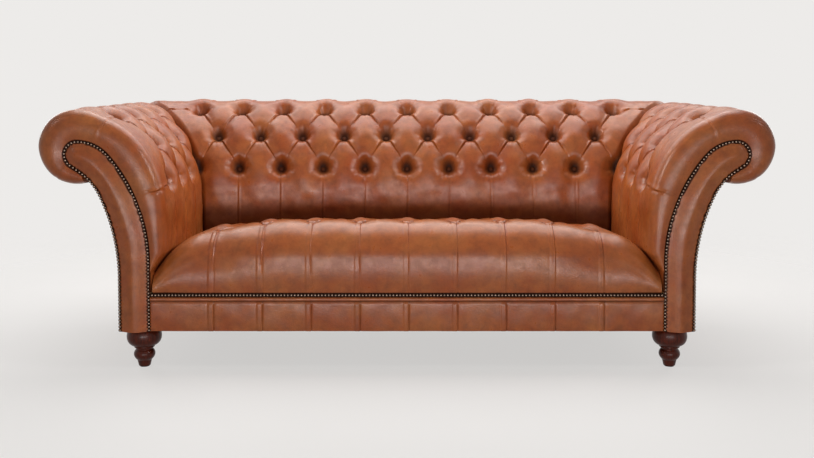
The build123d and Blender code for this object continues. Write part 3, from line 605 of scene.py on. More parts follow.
def add(tree, kind, inputs=(), **settings):
    """A new node with its settings and inputs."""
    node = tree.nodes.new(kind)
    for name, value in settings.items():
        setattr(node, name, value)
    return feed(tree, node, inputs)


def new_material(name):
    """An empty material with its shader, tree and coordinates in metres."""
    material = bpy.data.materials.new(name)
    material.use_nodes = True
    tree = material.node_tree
    return material, tree, tree.nodes["Principled BSDF"], add(tree, "ShaderNodeTexCoord").outputs["Object"]


def repeats(millimetres):
    """Scale of a pattern whose patches are about that many millimetres across."""
    return 1000.0 / millimetres


# A map range node's inputs are in the order value, from least, from most, to least, to most.

def antique_leather():
    """Cattle hide, drum dyed, with a darker dye left in the pleats and rubbed off the crowns, waxed. Its
    darkening in pleats and pits, at the mitres and low behind the seat is partly painted shade, and the paler
    crest of the seat partly a painted highlight.

    The eye sees a mottled brown that is paler and shinier where hands and light reach it.
    """
    material, tree, shader, place = new_material("cattle hide, dyed and hand antiqued")
    look = colours()
    patches = add(tree, "ShaderNodeTexNoise",
                  {"Vector": place, "Scale": repeats(130), "Detail": 4.0, "Roughness": 0.6})
    mottle = add(tree, "ShaderNodeTexNoise",
                 {"Vector": place, "Scale": repeats(28), "Detail": 5.0, "Roughness": 0.65})
    depth = add(tree, "ShaderNodeAttribute", attribute_name="patina_and_painted_light").outputs["Fac"]
    worn = add(tree, "ShaderNodeMapRange", [patches, 0.38, 0.70, 0.0, 0.95])
    # Above 1 the attribute makes the hide paler: rubbed, and on the seat's crest a painted highlight
    rubbed_and_highlight = add(tree, "ShaderNodeMapRange", [depth, 1.0, 1.5])
    pale = add(tree, "ShaderNodeMath", [worn, rubbed_and_highlight], operation="MAXIMUM")
    ground = add(tree, "ShaderNodeMix", {"Factor": pale, "A": look.hide, "B": look.hide_worn_and_highlight},
                 data_type="RGBA")
    spots = add(tree, "ShaderNodeMapRange", [mottle, 0.38, 0.70, 0.0, 0.36])
    dimmed = add(tree, "ShaderNodeMix", {"Factor": spots, "A": ground, "B": look.hide_dye_and_shade}, data_type="RGBA")
    # Dark dye, and painted shade in pits, pleats, mitres, on the buttons and low behind the seat
    dye_and_shade = add(tree, "ShaderNodeMapRange", [depth, 0.0, 0.75, 0.94, 0.0], interpolation_type="SMOOTHSTEP")
    skin = add(tree, "ShaderNodeMix", {"Factor": dye_and_shade, "A": dimmed, "B": look.hide_dye_and_shade}, data_type="RGBA")
    gloss = add(tree, "ShaderNodeMapRange", [mottle, 0.3, 0.7, 0.26, 0.40])
    dull = add(tree, "ShaderNodeMath", [dye_and_shade, 0.4, gloss], operation="MULTIPLY_ADD")
    waxed = 0.33
    sheen = add(tree, "ShaderNodeMapRange", [dye_and_shade, 0.0, 1.0, waxed, 0.04])
    # The hide's pebbles are under 1 mm; they are drawn 4 mm across so that they show.
    pebble = add(tree, "ShaderNodeTexVoronoi", {"Vector": place, "Scale": repeats(4)}, feature="SMOOTH_F1")
    fine = add(tree, "ShaderNodeTexNoise",
               {"Vector": place, "Scale": repeats(9), "Detail": 6.0, "Roughness": 0.7})
    relief = add(tree, "ShaderNodeMath", [pebble, fine], operation="ADD")
    bump = add(tree, "ShaderNodeBump", {"Height": relief, "Strength": 0.22, "Distance": 0.0012})
    # An export without the link takes the socket's own value.
    feed(tree, shader, {"Specular IOR Level": waxed})
    feed(tree, shader, {"Base Color": skin, "Roughness": dull, "Specular IOR Level": sheen, "Normal": bump,
                        "IOR": 1.50, "Coat Weight": 0.05, "Coat Roughness": 0.32})
    return material


def antique_brass():
    """Stamped brass nail heads, chemically darkened and buffed on their domes; the pale crown is also a
    painted glint.

    The eye sees a small gold-grey glint in a nearly black surround.
    """
    material, tree, shader, place = new_material("brass, stamped and antiqued")
    look = colours()
    depth = add(tree, "ShaderNodeAttribute", attribute_name="patina_and_painted_light").outputs["Fac"]
    buffed_and_glint = add(tree, "ShaderNodeMapRange", [depth, 0.84, 1.0], interpolation_type="SMOOTHSTEP")
    metal = add(tree, "ShaderNodeMix", {"Factor": buffed_and_glint, "A": look.brass_dark, "B": look.brass},
                data_type="RGBA")
    tarnish = add(tree, "ShaderNodeTexNoise",
                  {"Vector": place, "Scale": repeats(6), "Detail": 3.0, "Roughness": 0.6})
    rough = add(tree, "ShaderNodeMapRange", [tarnish, 0.0, 1.0, 0.25, 0.45])
    feed(tree, shader, {"Base Color": metal, "Roughness": rough, "Metallic": 1.0})
    return material


def polished_mahogany():
    """Mahogany, turned on a lathe, stained dark red-brown and polished.

    The eye sees a nearly black red with fine upright grain under a bright clear gloss.
    """
    material, tree, shader, place = new_material("mahogany, turned and polished")
    look = colours()
    stretched = add(tree, "ShaderNodeMapping", {"Vector": place, "Scale": (1.0, 1.0, 0.12)})
    grain = add(tree, "ShaderNodeTexNoise",
                {"Vector": stretched, "Scale": repeats(5), "Detail": 5.0, "Roughness": 0.65})
    streak = add(tree, "ShaderNodeMapRange", [grain, 0.3, 0.7])
    timber = add(tree, "ShaderNodeMix", {"Factor": streak, "A": look.polish, "B": look.polish_light},
                 data_type="RGBA")
    bump = add(tree, "ShaderNodeBump", {"Height": grain, "Strength": 0.08, "Distance": 0.0006})
    feed(tree, shader, {"Base Color": timber, "Normal": bump, "Roughness": 0.34, "Specular IOR Level": 0.15,
                        "IOR": 1.5, "Coat Weight": 0.08, "Coat Roughness": 0.10})
    return material


def two_tone(name, first, second, millimetres, roughness, metallic=0.0, stretch=(1.0, 1.0, 1.0),
             relief=0.0004):
    """A hidden material of two close tones, with grain of a given width and direction."""
    material, tree, shader, place = new_material(name)
    drawn = add(tree, "ShaderNodeMapping", {"Vector": place, "Scale": stretch})
    grain = add(tree, "ShaderNodeTexNoise",
                {"Vector": drawn, "Scale": repeats(millimetres), "Detail": 4.0, "Roughness": 0.6})
    share = add(tree, "ShaderNodeMapRange", [grain, 0.3, 0.7])
    tone = add(tree, "ShaderNodeMix", {"Factor": share, "A": linear(first), "B": linear(second)},
               data_type="RGBA")
    bump = add(tree, "ShaderNodeBump", {"Height": grain, "Strength": 0.3, "Distance": relief})
    feed(tree, shader, {"Base Color": tone, "Normal": bump, "Roughness": roughness, "Metallic": metallic})
    return material


def woven(name, first, second, millimetres):
    """Plain-woven cloth: two tones of yarn crossing at the given spacing."""
    material, tree, shader, place = new_material(name)
    waves_to_scale = 6.2
    yarns = {"Vector": place, "Scale": repeats(millimetres) / waves_to_scale, "Distortion": 0.6}
    threads = [add(tree, "ShaderNodeTexWave", yarns, bands_direction=way).outputs["Fac"] for way in "XY"]
    cloth = add(tree, "ShaderNodeMath", threads, operation="MULTIPLY")
    tone = add(tree, "ShaderNodeMix", {"Factor": cloth, "A": linear(first), "B": linear(second)},
               data_type="RGBA")
    bump = add(tree, "ShaderNodeBump", {"Height": cloth, "Strength": 0.5, "Distance": 0.0005})
    feed(tree, shader, {"Base Color": tone, "Normal": bump, "Roughness": 0.9})
    return material


FINISHES = {
    "frame_timber": lambda: two_tone("beech, sawn", "#B98F62", "#9C7448", 6, 0.75, stretch=(0.1, 1.0, 1.0)),
    "padding": lambda: two_tone("polyurethane foam, cut", "#DCD0A8", "#C9BB8E", 3, 0.95, relief=0.001),
    "webbing": lambda: woven("jute webbing, woven", "#7C6242", "#A98C60", 4),
    "hessian": lambda: woven("hessian, plain woven", "#8F7650", "#B89C6C", 3),
    "black_cloth": lambda: two_tone("dust cloth, spun bonded", "#0E0E0F", "#1B1B1D", 2, 0.9),
    "zinc_steel": lambda: two_tone("steel, zinc plated", "#A9ACAF", "#8D9094", 3, 0.35, 1.0),
    "black_plastic": lambda: two_tone("polyethylene, moulded", "#121212", "#1C1C1C", 2, 0.5),
    "leather": antique_leather,
    "mahogany": polished_mahogany,
    "antique_brass": antique_brass,
}


@cache
def finish_of(slot):
    """The material of a slot, made the first time that it is asked for."""
    return FINISHES[slot]()


# Arm and back

def button_rows(track):
    """Mesh rows of an arm or back cover: their numbers and lengths counted from the lowest buttons.

    The third value is the length along the profile at which those buttons lie.
    """
    base = track.stretches[1][0] + sizes().first_row
    step = sizes().row_pitch / PER_HALF
    numbers = np.arange(math.floor(-base / step), math.floor((track.length - base) / step) + 1)
    along = numbers * step
    along[0], along[-1] = -base, track.length - base
    return numbers, along[:, None], base


def scroll_crown(along):
    """Height of the puffs of arm and back: fuller over the roll, thinner at its end."""
    size = sizes()
    row = along / size.row_pitch
    thinner = 0.022 * smooth((row - 3.3) / 1.1)
    return size.crown + (size.roll_crown - size.crown) * smooth((row - 0.8) / 1.9) - thinner


def back_pitch(along):
    """Button spacing of the back, which fans out on the way up to the roll."""
    size = sizes()
    fan = smooth((along + 0.02) / (2 * size.row_pitch))
    return size.back_pitch + (size.back_top_pitch - size.back_pitch) * fan


def mitred(track, along, base, from_corner, height, patina_and_painted_light):
    """Draws a cover down and darkens it with painted shade where arm and back meet, most of all low down."""
    edge_out, _ = track.at(along + base, MITRE_LEVEL)
    open_share = smooth((from_corner + edge_out) / MITRE_WIDTH)
    upper = smooth(along / (2.5 * sizes().row_pitch))
    seam = 0.020 + 0.018 * upper
    dark = 0.8 - 0.4 * upper
    return seam * (1 - open_share) + height * open_share, patina_and_painted_light * (1 - dark * (1 - open_share))


class BackCover(bpy.types.Operator):
    """Buttoned inside back, from the seat up and over the roll, mitred at the corners"""
    bl_idname = "sofa.back_cover"
    bl_label = "Inside back"

    def execute(self, context):
        size = sizes()
        track = scroll_track(size.tuck_height)
        rows, along, base = button_rows(track)
        half_width = size.inside_half_width + size.roll_out + PAST_ROLL
        half = math.ceil(half_width / size.back_pitch * 2) * PER_HALF
        columns = np.arange(-half, half + 1)
        column = columns / (2 * PER_HALF)
        across = column * back_pitch(along)

        # Along the top of the back the puffs stand a little above the flatter pleats between them.
        crest = ridge(along, 0.310, 0.060)
        last = BACK_COLUMNS + 0.5
        fuller = 0.0045 * np.cos(2 * math.pi * np.clip(column, -last, last)) * crest
        tufting = Tufting(size.back_pitch, size.row_pitch, SCROLL_ROWS, (-BACK_COLUMNS, BACK_COLUMNS),
                          size.sag, seed=3)
        height, patina_and_painted_light = tufting.height(column, along, scroll_crown(along) + fuller, flatter=0.75 * crest)
        from_corner = size.inside_half_width - np.abs(across)
        height, patina_and_painted_light = mitred(track, along, base, from_corner, height, patina_and_painted_light)
        height = TUCKED + (height - TUCKED) * smooth((along + base) / 0.05)
        # Painted shade: the back is darker low down, behind the seat
        shade_behind_seat = 0.30 + 0.70 * smooth((along + base - 0.10) / 0.12)

        out, up = track.at(along + base, height)
        padding = FRONT + size.seat_depth
        outer = grid(across, padding + out, up)
        out, up = track.at(np.linspace(track.length, 0, INNER_ROWS)[:, None], UNDERSIDE)
        hidden = grid(across[-1], padding + out, up)
        cuts = [((side * size.inside_half_width, padding, 0), (side, -1, 0)) for side in (-1, 1)]
        piece = cover("inside_back", outer, hidden, patina_and_painted_light * shade_behind_seat, (rows, columns), cuts)
        dress(piece, "leather", "back_cover", fill=0.9)
        return {"FINISHED"}


def nail_line(track, along, bottom):
    """Out and up of the points on the facing's nail line that face places along the padding profile."""
    along = along.ravel()
    inner, outer = facing_track(bottom), outside_track(bottom)
    up_steps, neck_steps, down_steps, down_run = 900, 60, 80, 0.08
    up_line = inner.places(np.linspace(0, inner.length, up_steps))
    down_line = outer.places(np.linspace(outer.length, outer.length - down_run, down_steps))
    line = np.concatenate([up_line, np.linspace(up_line[-1], down_line[0], neck_steps), down_line])

    start = track.places(along)
    inward = np.stack(track.at(along, -1.0), -1) - start
    offset = up_line[None] - start[:, None]
    ahead = (offset * inward[:, None]).sum(-1)
    aside = np.abs(offset[..., 0] * inward[:, None, 1] - offset[..., 1] * inward[:, None, 0])
    behind, beyond, far = -0.01, 0.09, 9.0
    straight = line[np.where((ahead > behind) & (ahead < beyond), aside, far).argmin(1)]

    tip = np.array(TIP)
    tip_line = line[np.argmax(up_line[:, 1]):] - tip
    round_tip = np.unwrap(np.arctan2(tip_line[:, 1], tip_line[:, 0]))
    place = np.stack(track.at(along, 0.04), -1) - tip
    turn = np.arctan2(place[:, 1], place[:, 0])
    curled = np.stack([np.interp(-turn, -round_tip, tip_line[:, axis]) for axis in (0, 1)], -1) + tip
    roll_top = track.stretches[2][0] + sizes().roll_radius * math.radians(18.0)
    return np.where((along > roll_top)[:, None], curled, straight).T[..., None]


def beside_seat(up, depth):
    """Room for the padding of an arm where the seat's shoulder lies against it."""
    size = sizes()
    lower = np.clip(depth - size.seat_front - SEAT_CREST_RADIUS, 0, None) * math.tan(math.radians(SEAT_SLOPE))
    above, clear, open_air = 0.004, 0.003, 1.0
    drop = (size.seat_top + size.seat_crown + above - lower - up) / (1 - lower / SEAT_SIDE_DROP)
    drop = np.clip(drop, 0, SEAT_SIDE_DROP)
    share = (drop / SEAT_SIDE_DROP) ** (1 / SEAT_FALL)
    room = SEAT_SIDE_GAP + SEAT_SHOULDER * (1 - share)
    return np.where(drop > 0, room - clear, open_air)


def strip_crown(track, along):
    """Height of the plain strip: flatter on top of the roll and fuller on its outer side."""
    turned_by = np.degrees((along - track.stretches[2][0]) / sizes().roll_radius)
    change = np.interp(turned_by, [-70, 0, 18, 60, 108, 150, 198, 210], [0, -2, -4, 7, 15, 12, 6, 4])
    return sizes().strip_crown + change / 1000


class ArmCovers(bpy.types.Operator):
    """Buttoned inside arms, with a plain strip in front that wraps round to the facing"""
    bl_idname = "sofa.arm_covers"
    bl_label = "Inside arms"

    def execute(self, context):
        size = sizes()
        bottom = size.rail_top + ARM_LIFT
        track = scroll_track(bottom)
        rows, along, base = button_rows(track)
        behind = math.ceil((size.roll_out + PAST_ROLL) / size.arm_pitch * 2) * PER_HALF
        ahead = math.floor((size.seat_depth - LIP_START) / size.arm_pitch * 2 * PER_HALF)
        column = np.arange(-behind, ahead + 1) / (2 * PER_HALF)
        depth = size.seat_depth - column * size.arm_pitch

        everywhere_behind = -99
        tufting = Tufting(size.arm_pitch, size.row_pitch, SCROLL_ROWS, (everywhere_behind, ARM_COLUMNS),
                          size.sag, seed=11, runs=1.0)
        strip = smooth((STRIP_EDGE - depth) / STRIP_BLEND)
        crown = scroll_crown(along) * (1 - strip) + strip_crown(track, along + base) * strip
        height, patina_and_painted_light = tufting.height(column, along, crown)
        height, patina_and_painted_light = mitred(track, along, base, size.seat_depth - depth, height, patina_and_painted_light)
        height = np.minimum(height, beside_seat(bottom + along + base, depth))
        out, up = track.at(along + base, height)

        def to_nails(from_out, from_up, nails, share):
            """Runs a cover on from its front edge towards the nail line."""
            return from_out + (nails[0] - from_out) * share, from_up + (nails[1] - from_up) * share

        share = np.linspace(0, 1, LIP_STEPS + 1)[1:]
        start = depth[-1]
        nails = nail_line(track, along + base, bottom)
        lip_out, lip_up = to_nails(out[:, -1:], up[:, -1:], nails, bezier(share, 0, 0, 0.58, 1))
        past = (column[-1] - ARM_COLUMNS) * size.arm_pitch + share * LIP_LENGTH
        pleat = tufting.side_pleat(along, past) * smooth(share / 0.3) * (1 - share ** 3)
        lip_deep = bezier(share, start, start - LIP_LEAD, -LIP_BULGE, LIP_END) - pleat
        lip_darkening = creased(pleat) * beside_nails(np.hypot(lip_out - nails[0], lip_up - nails[1]))
        deep = np.hstack([np.broadcast_to(depth, out.shape), lip_deep])
        out, up = np.hstack([out, lip_out]), np.hstack([up, lip_up])
        outer = grid(size.inside_half_width + out, FRONT + deep, up)

        back_along = np.linspace(track.length, 0, INNER_ROWS)[:, None]
        nails = nail_line(track, back_along, bottom)
        lip_share = np.concatenate([np.zeros(len(depth)), share])
        hidden_out, hidden_up = to_nails(*track.at(back_along, UNDERSIDE), nails, lip_share)
        hidden_deep = np.concatenate([depth, start + (TUCKED - start) * share])
        hidden = grid(size.inside_half_width + hidden_out, FRONT + hidden_deep, hidden_up)

        columns = np.arange(-behind, ahead + 1 + LIP_STEPS)
        cuts = [((size.inside_half_width, FRONT + size.seat_depth, 0), (-1, 1, 0))]
        patina_and_painted_light = np.hstack([patina_and_painted_light, lip_darkening])
        right = cover("inside_arm_right", outer, hidden, patina_and_painted_light, (rows, columns), cuts)
        dress_pair(right, "leather", "arm_cover", fill=0.9)
        return {"FINISHED"}


# Seat and front rail

def seat_drop(across):
    """How far the seat falls towards the arms."""
    end = sizes().inside_half_width - SEAT_SIDE_GAP
    share = np.maximum(0.0, (np.abs(across) - end + SEAT_SHOULDER) / SEAT_SHOULDER)
    return SEAT_SIDE_DROP * share ** SEAT_FALL


def seat_track(across):
    """Padding profile of the seat, from the front rail up and over the crest to the back."""
    size = sizes()
    drop = float(seat_drop(across))
    bottom = size.rail_top + SEAT_LIFT
    radius = SEAT_CREST_RADIUS * (1 - 0.75 * drop / SEAT_SIDE_DROP)
    slope = SEAT_SLOPE * (1 - drop / SEAT_SIDE_DROP)
    track = Track((size.seat_front, bottom)).line(size.seat_top - drop - radius - bottom)
    track.arc(radius, 90 + slope)
    return track.line((size.seat_depth - SEAT_BACK_GAP - track.end[0]) / math.cos(math.radians(slope)))


def seat_crown(across, along):
    """Height of the seat's puffs: lower on the way to the arms, most of all at the crest."""
    size = sizes()
    from_lowest = np.abs(across) - SEAT_LOWEST
    side = ridge(from_lowest, 0.0, np.where(from_lowest < 0, 0.13, 0.09))
    lower = 0.018 + 0.010 * (1 - smooth(along / 0.07))
    fuller = 0.006 * np.cos(2 * math.pi * across / size.seat_pitch) * ridge(along, size.seat_row_pitch, 0.05)
    return size.seat_crown + 0.003 * (1 - side) + fuller - lower * side


def seat_row(track):
    """Distance between button rows, and the length at which the first one lies."""
    crest = track.stretches[2][0]
    return min(sizes().seat_row_pitch, (track.length - crest) / (SEAT_ROWS + 1.3)), crest


def seat_tufting():
    size = sizes()
    return Tufting(size.seat_pitch, size.seat_row_pitch, SEAT_ROWS, (-SEAT_COLUMNS, SEAT_COLUMNS), 0.012,
                   seed=23, pit=0.046, depth=0.62, beside=(0.2, 0.2, 0.2), upper=False)


def fold_shape(offset, width):
    """Section of a pressed pleat: a flat strip that stands up to a sharp step."""
    strip = smooth((offset + 0.95 * width) / (0.3 * width))
    strip = strip * (1 - smooth((offset - 0.25 * width) / (0.22 * width)))
    groove = ridge(offset, 0.52 * width, 0.17 * width) + 0.35 * ridge(offset, -width, 0.17 * width)
    return 0.0016 * strip - 0.0022 * groove


def fold_shade(offset, width):
    """How much dark dye and painted shade lie in the step of a pressed pleat."""
    return ridge(offset, 0.52 * width, 0.22 * width) + 0.35 * ridge(offset, -width, 0.2 * width)


def pleat_columns(end):
    """Mesh columns of seat and border out to an end on either side: their numbers and places."""
    pitch = sizes().seat_pitch
    half = math.floor(end / pitch * 2 * PER_HALF)
    numbers = np.arange(-half, half + 1)
    across = numbers / (2 * PER_HALF) * pitch
    across[0], across[-1] = -end, end
    return numbers, across


class SeatCover(bpy.types.Operator):
    """Fixed buttoned seat, with pleats that run from its crest down to the front rail"""
    bl_idname = "sofa.seat_cover"
    bl_label = "Seat"

    def execute(self, context):
        size = sizes()
        columns, across = pleat_columns(size.inside_half_width - SEAT_SIDE_GAP)
        buttoned = SEAT_ROWS + 1
        below = np.linspace(-1, 0, SKIRT_ROWS + 1)[:-1]
        above = np.arange(0, buttoned * PER_HALF + 1) / PER_HALF
        behind = np.linspace(0, 1, REAR_ROWS + 1)[1:]
        rows = np.arange(len(below) + len(above) + len(behind)) - len(below)
        outer = np.zeros((len(rows), len(across), 3))
        patina_and_painted_light = np.zeros(outer.shape[:2])
        hidden = np.zeros((INNER_ROWS, len(across), 3))

        tufting = seat_tufting()
        for number, x in enumerate(across):
            track = seat_track(x)
            row, crest = seat_row(track)
            top = track.length - crest
            along = np.concatenate([below * crest, above * row,
                                    buttoned * row + behind * (top - buttoned * row)])
            lattice = np.where(along < 0, along, along / row * size.seat_row_pitch)
            column = np.full(along.shape, columns[number] / (2 * PER_HALF))
            height, shown = tufting.height(column, lattice, seat_crown(x, lattice),
                                           flatter=0.8 * ridge(lattice, 0.0, 0.05))
            down = np.clip(-along / crest, 0, 1)
            skirt = smooth(down)
            height = height * (1 - skirt) + (0.044 + 0.012 * np.sin(math.pi * down)) * skirt
            nearest = np.round(x / size.seat_pitch)
            if abs(nearest) <= SEAT_COLUMNS:
                offset = x - nearest * size.seat_pitch
                pressed = np.clip(-along / 0.02, 0, 1) * (1 - 0.5 * skirt)
                height = height + pressed * fold_shape(offset, size.fold_width)
                shade = (0.6 - 0.4 * skirt) * fold_shade(offset, size.fold_width)
                shown = np.where(along < 0, 1 - shade, shown)
            height = TUCKED + (height - TUCKED) * smooth((top - along) / 0.08)
            out, up = track.at(along + crest, height)
            outer[:, number] = grid(x, FRONT + out, up)
            # Paler along the seat's crest: rubbed, and a painted highlight
            rubbed_and_highlight = 1 + 0.5 * ridge(along, -0.010, 0.070)
            patina_and_painted_light[:, number] = shown * rubbed_and_highlight * beside_nails(along + crest + 0.004)
            out, up = track.at(np.linspace(track.length, 0, INNER_ROWS), UNDERSIDE)
            hidden[:, number] = grid(x, FRONT + out, up)
        piece = cover("seat_leather", outer, hidden, patina_and_painted_light, (rows, columns))
        dress(piece, "leather", "seat_cover", fill=0.9)
        return {"FINISHED"}


class FrontBorder(bpy.types.Operator):
    """Leather border on the front rail, with its welt and pressed pleats"""
    bl_idname = "sofa.front_border"
    bl_label = "Front border"

    def execute(self, context):
        size = sizes()
        end = size.inside_half_width - BORDER_GAP
        _, across = pleat_columns(end)
        across = np.concatenate([[-end - BORDER_TUCK], across, [end + BORDER_TUCK]])
        tucked = np.abs(across) <= end
        welt = size.rail_top - WELT_DROP
        low, high = size.rail_bottom, size.rail_top - BORDER_GAP
        up = np.concatenate([[low], np.linspace(low + 0.0015, welt - 0.009, 20),
                             welt + np.linspace(-0.0065, 0.0065, 13),
                             np.linspace(welt + 0.009, high, 4)])[:, None]
        rise = BORDER_PUFF * np.sin(math.pi * np.clip((up - low) / (welt - low), 0, 1)) ** 0.6
        rise[0] = -0.003
        bead = WELT_RISE * np.sqrt(np.clip(1 - ((up - welt) / WELT_RADIUS) ** 2, 0, 1))
        crease = ridge(up - welt, -0.0075, 0.0022)

        pleat = np.round(across / size.seat_pitch)
        offset = across - pleat * size.seat_pitch
        pressed = np.clip((welt - 0.006 - up) / 0.01, 0, 1) * (np.abs(pleat) <= SEAT_COLUMNS)
        forward = rise + bead - BORDER_CREASE * crease + pressed * fold_shape(offset, size.fold_width)
        forward = (forward + 0.0008 * ripple(across, up, 31)) * tucked
        outer = grid(across, FRONT + 0.002 - forward, up)
        shade = 0.6 * pressed * fold_shade(offset, size.fold_width) + 0.9 * crease
        patina_and_painted_light = (1 - np.clip(shade, 0, 1)) * beside_nails(size.rail_top - NAIL_DROP - up)
        rear = grid(across, FRONT + FACING_BOARD, np.array([[high], [low]]))
        piece = cover("rail_leather", outer, rear, patina_and_painted_light, sharp=55.0)
        dress(piece, "leather", "front_border")
        return {"FINISHED"}


# Facings and trim

class ArmFacings(bpy.types.Operator):
    """Padded scroll-shaped panels on the fronts of the arms"""
    bl_idname = "sofa.arm_facings"
    bl_label = "Arm facings"

    def execute(self, context):
        size = sizes()
        inner, outer = facing_track(size.rail_bottom), outside_track(size.rail_bottom)
        up_line = inner.places(np.linspace(0, inner.length, int(inner.length / FACING_MESH)))
        down_line = outer.places(np.linspace(outer.length, 0, int(outer.length / FACING_MESH)))
        neck = np.linspace(up_line[-1], down_line[0], 8)[1:-1]
        foot = np.linspace(down_line[-1], up_line[0], 17)[1:-1]
        pad_rim = np.concatenate([up_line, neck, down_line])
        rim = np.concatenate([pad_rim, foot])

        def off(points, place):
            """Distances of points from a place."""
            return np.hypot(points[:, 0] - place[0], points[:, 1] - place[1])

        low, high = rim.min(0), rim.max(0)
        inside = []
        for row, z in enumerate(np.arange(low[1] + 0.004, high[1], FACING_MESH * 0.87)):
            for w in np.arange(low[0] + (row % 2) * FACING_MESH / 2, high[0], FACING_MESH):
                if off(rim, (w, z)).min() > 0.7 * FACING_MESH:
                    inside.append((w, z))
        flat = [Vector(point) for point in rim.tolist() + inside]
        wall = len(rim)
        loop = [(number, (number + 1) % wall) for number in range(wall)]
        places, _, faces, _, _, _ = geometry.delaunay_2d_cdt(flat, loop, [], 1, 1e-6)
        places = np.array([tuple(place) for place in places])
        faces = [list(face) for face in faces]

        away = np.array([off(pad_rim, place).min() for place in places])
        share = np.clip(away / PAD_EDGE, 0, 1)
        rise = size.facing_rise * smooth(share) ** 0.8
        rise = rise + 0.0007 * ripple(places[:, 0], places[:, 1], 41) * share
        points = grid(size.inside_half_width + places[:, 0], FRONT - 0.0005 - rise, places[:, 1])
        count = len(points)
        order = [int(off(places, point).argmin()) for point in rim]
        back = points[order]
        back[:, 1] = FRONT + FACING_BOARD - 0.0002
        for number, after in loop:
            faces.append([order[number], order[after], count + after, count + number])
        faces.append([count + number for number in range(wall)])
        patina_and_painted_light = np.concatenate([beside_nails(away), np.zeros(wall)])
        right = mesh_piece("facing_leather_right", np.concatenate([points, back]), faces, patina_and_painted_light)
        finish_shell(right, [], 60.0)
        dress_pair(right, "leather", "arm_facing", fill=0.8)
        return {"FINISHED"}


def spaced(pitch, first, last):
    """Even steps from first to last, at about the given pitch."""
    return np.linspace(first, last, max(1, round((last - first) / pitch)) + 1)


class Nails(bpy.types.Operator):
    """Close nailing round both facings and along the front rail"""
    bl_idname = "sofa.nails"
    bl_label = "Close nailing"

    def execute(self, context):
        size = sizes()
        pitch = size.nail_pitch
        inner, outer = facing_track(size.rail_bottom), outside_track(size.rail_bottom)
        up_line = inner.places(spaced(pitch, NAIL_START, inner.length))
        down_line = outer.places(spaced(pitch, NAIL_START, outer.length))
        across_neck = round(np.hypot(*(down_line[-1] - up_line[-1])) / pitch)
        neck = np.linspace(up_line[-1], down_line[-1], across_neck + 1)[1:-1]
        # Nail crowns paler, buffed and a painted glint; their rims dark with tarnish
        head = dome(size.nail_radius, NAIL_RISE, NAIL_SKIRT, rings=4, shown=1.15)
        turns = 12
        ahead = (0, -1, 0)
        spots = [((size.inside_half_width + w, FRONT - NAIL_SKIRT, z), ahead)
                 for w, z in np.concatenate([up_line, neck, down_line])]
        dress_pair(turned("facing_studs_right", spots, head, turns), "antique_brass", "facing_nails")
        end = size.inside_half_width - NAIL_START
        spots = [((x, FRONT + 0.0005, size.rail_top - NAIL_DROP), ahead) for x in spaced(pitch, -end, end)]
        dress(turned("rail_studs", spots, head, turns), "antique_brass", "front_nails")
        return {"FINISHED"}


def button_spot(track, along, floor, place):
    """Where a button sits on the profile of its cover, and the way that it faces."""
    outs, ups = track.at([along, along], [floor, floor + 0.01])
    foot, tip = [Vector(place(out, up)) for out, up in zip(outs, ups)]
    return foot, tip - foot


class Buttons(bpy.types.Operator):
    """Leather-covered buttons of the back, arms and seat"""
    bl_idname = "sofa.buttons"
    bl_label = "Buttons"

    def execute(self, context):
        size = sizes()
        track = scroll_track(size.tuck_height)
        _, _, base = button_rows(track)
        padding = FRONT + size.seat_depth
        back, arm, seat = [], [], []
        for half in range(-2 * BACK_COLUMNS, 2 * BACK_COLUMNS + 1):
            for row in range(half % 2, SCROLL_ROWS + 1, 2):
                above = row * size.row_pitch
                x = half / 2 * back_pitch(above)
                back.append(button_spot(track, base + above, PIT_FLOOR, lambda w, z: (x, padding + w, z)))
        for half in range(1, 2 * ARM_COLUMNS + 1):
            y = padding - half / 2 * size.arm_pitch
            for row in range(half % 2, SCROLL_ROWS + 1, 2):
                arm.append(button_spot(track, base + row * size.row_pitch, PIT_FLOOR,
                                       lambda w, z: (size.inside_half_width + w, y, z)))
        for half in range(-2 * SEAT_COLUMNS, 2 * SEAT_COLUMNS + 1):
            x = half / 2 * size.seat_pitch
            run = seat_track(x)
            pitch, crest = seat_row(run)
            for row in range(half % 2, SEAT_ROWS + 1, 2):
                floor = seat_tufting().floor(seat_crown(x, row * size.seat_row_pitch))
                seat.append(button_spot(run, crest + row * pitch, floor, lambda t, z: (x, FRONT + t, z)))
        # The buttons sit deep in their pits and are painted dark, as shade
        head = dome(size.button_radius, 0.0055, skirt=0.004, rings=5, shown=0.22)
        turns = 20
        on_back = turned("covered_back_buttons", back, head, turns)
        on_arm = turned("covered_arm_buttons_right", arm, head, turns)
        on_seat = turned("covered_seat_buttons", seat, head, turns)
        dress(on_back, "leather", "back_buttons")
        dress(on_seat, "leather", "seat_buttons")
        dress_pair(on_arm, "leather", "arm_buttons")
        return {"FINISHED"}


def foot_radius(height):
    """Radius of a front foot: a tapered toe, a ball, a neck, a ring and a bun."""
    def swell(middle, half):
        return np.sqrt(np.clip(1 - ((height - middle) / half) ** 2, 0, 1))

    core = np.interp(height, [TOE_LOW, TOE_HIGH, NECK_HEIGHT, NECK_TOP, RING_TOP],
                     [0.0182, 0.0222, 0.0258, 0.0262, 0.0306])
    ball = 0.0330 - 29.5 * (height - BALL_MIDDLE) ** 2
    ring = 0.0258 + 0.0060 * swell(RING_MIDDLE, RING_HALF)
    bun = 0.0300 + 0.0240 * swell(BUN_MIDDLE, np.where(height < BUN_MIDDLE, BUN_BELOW, BUN_ABOVE))
    return np.max([core, ball, np.where(ring > 0.0258, ring, 0), np.where(bun > 0.0300, bun, 0)], axis=0)


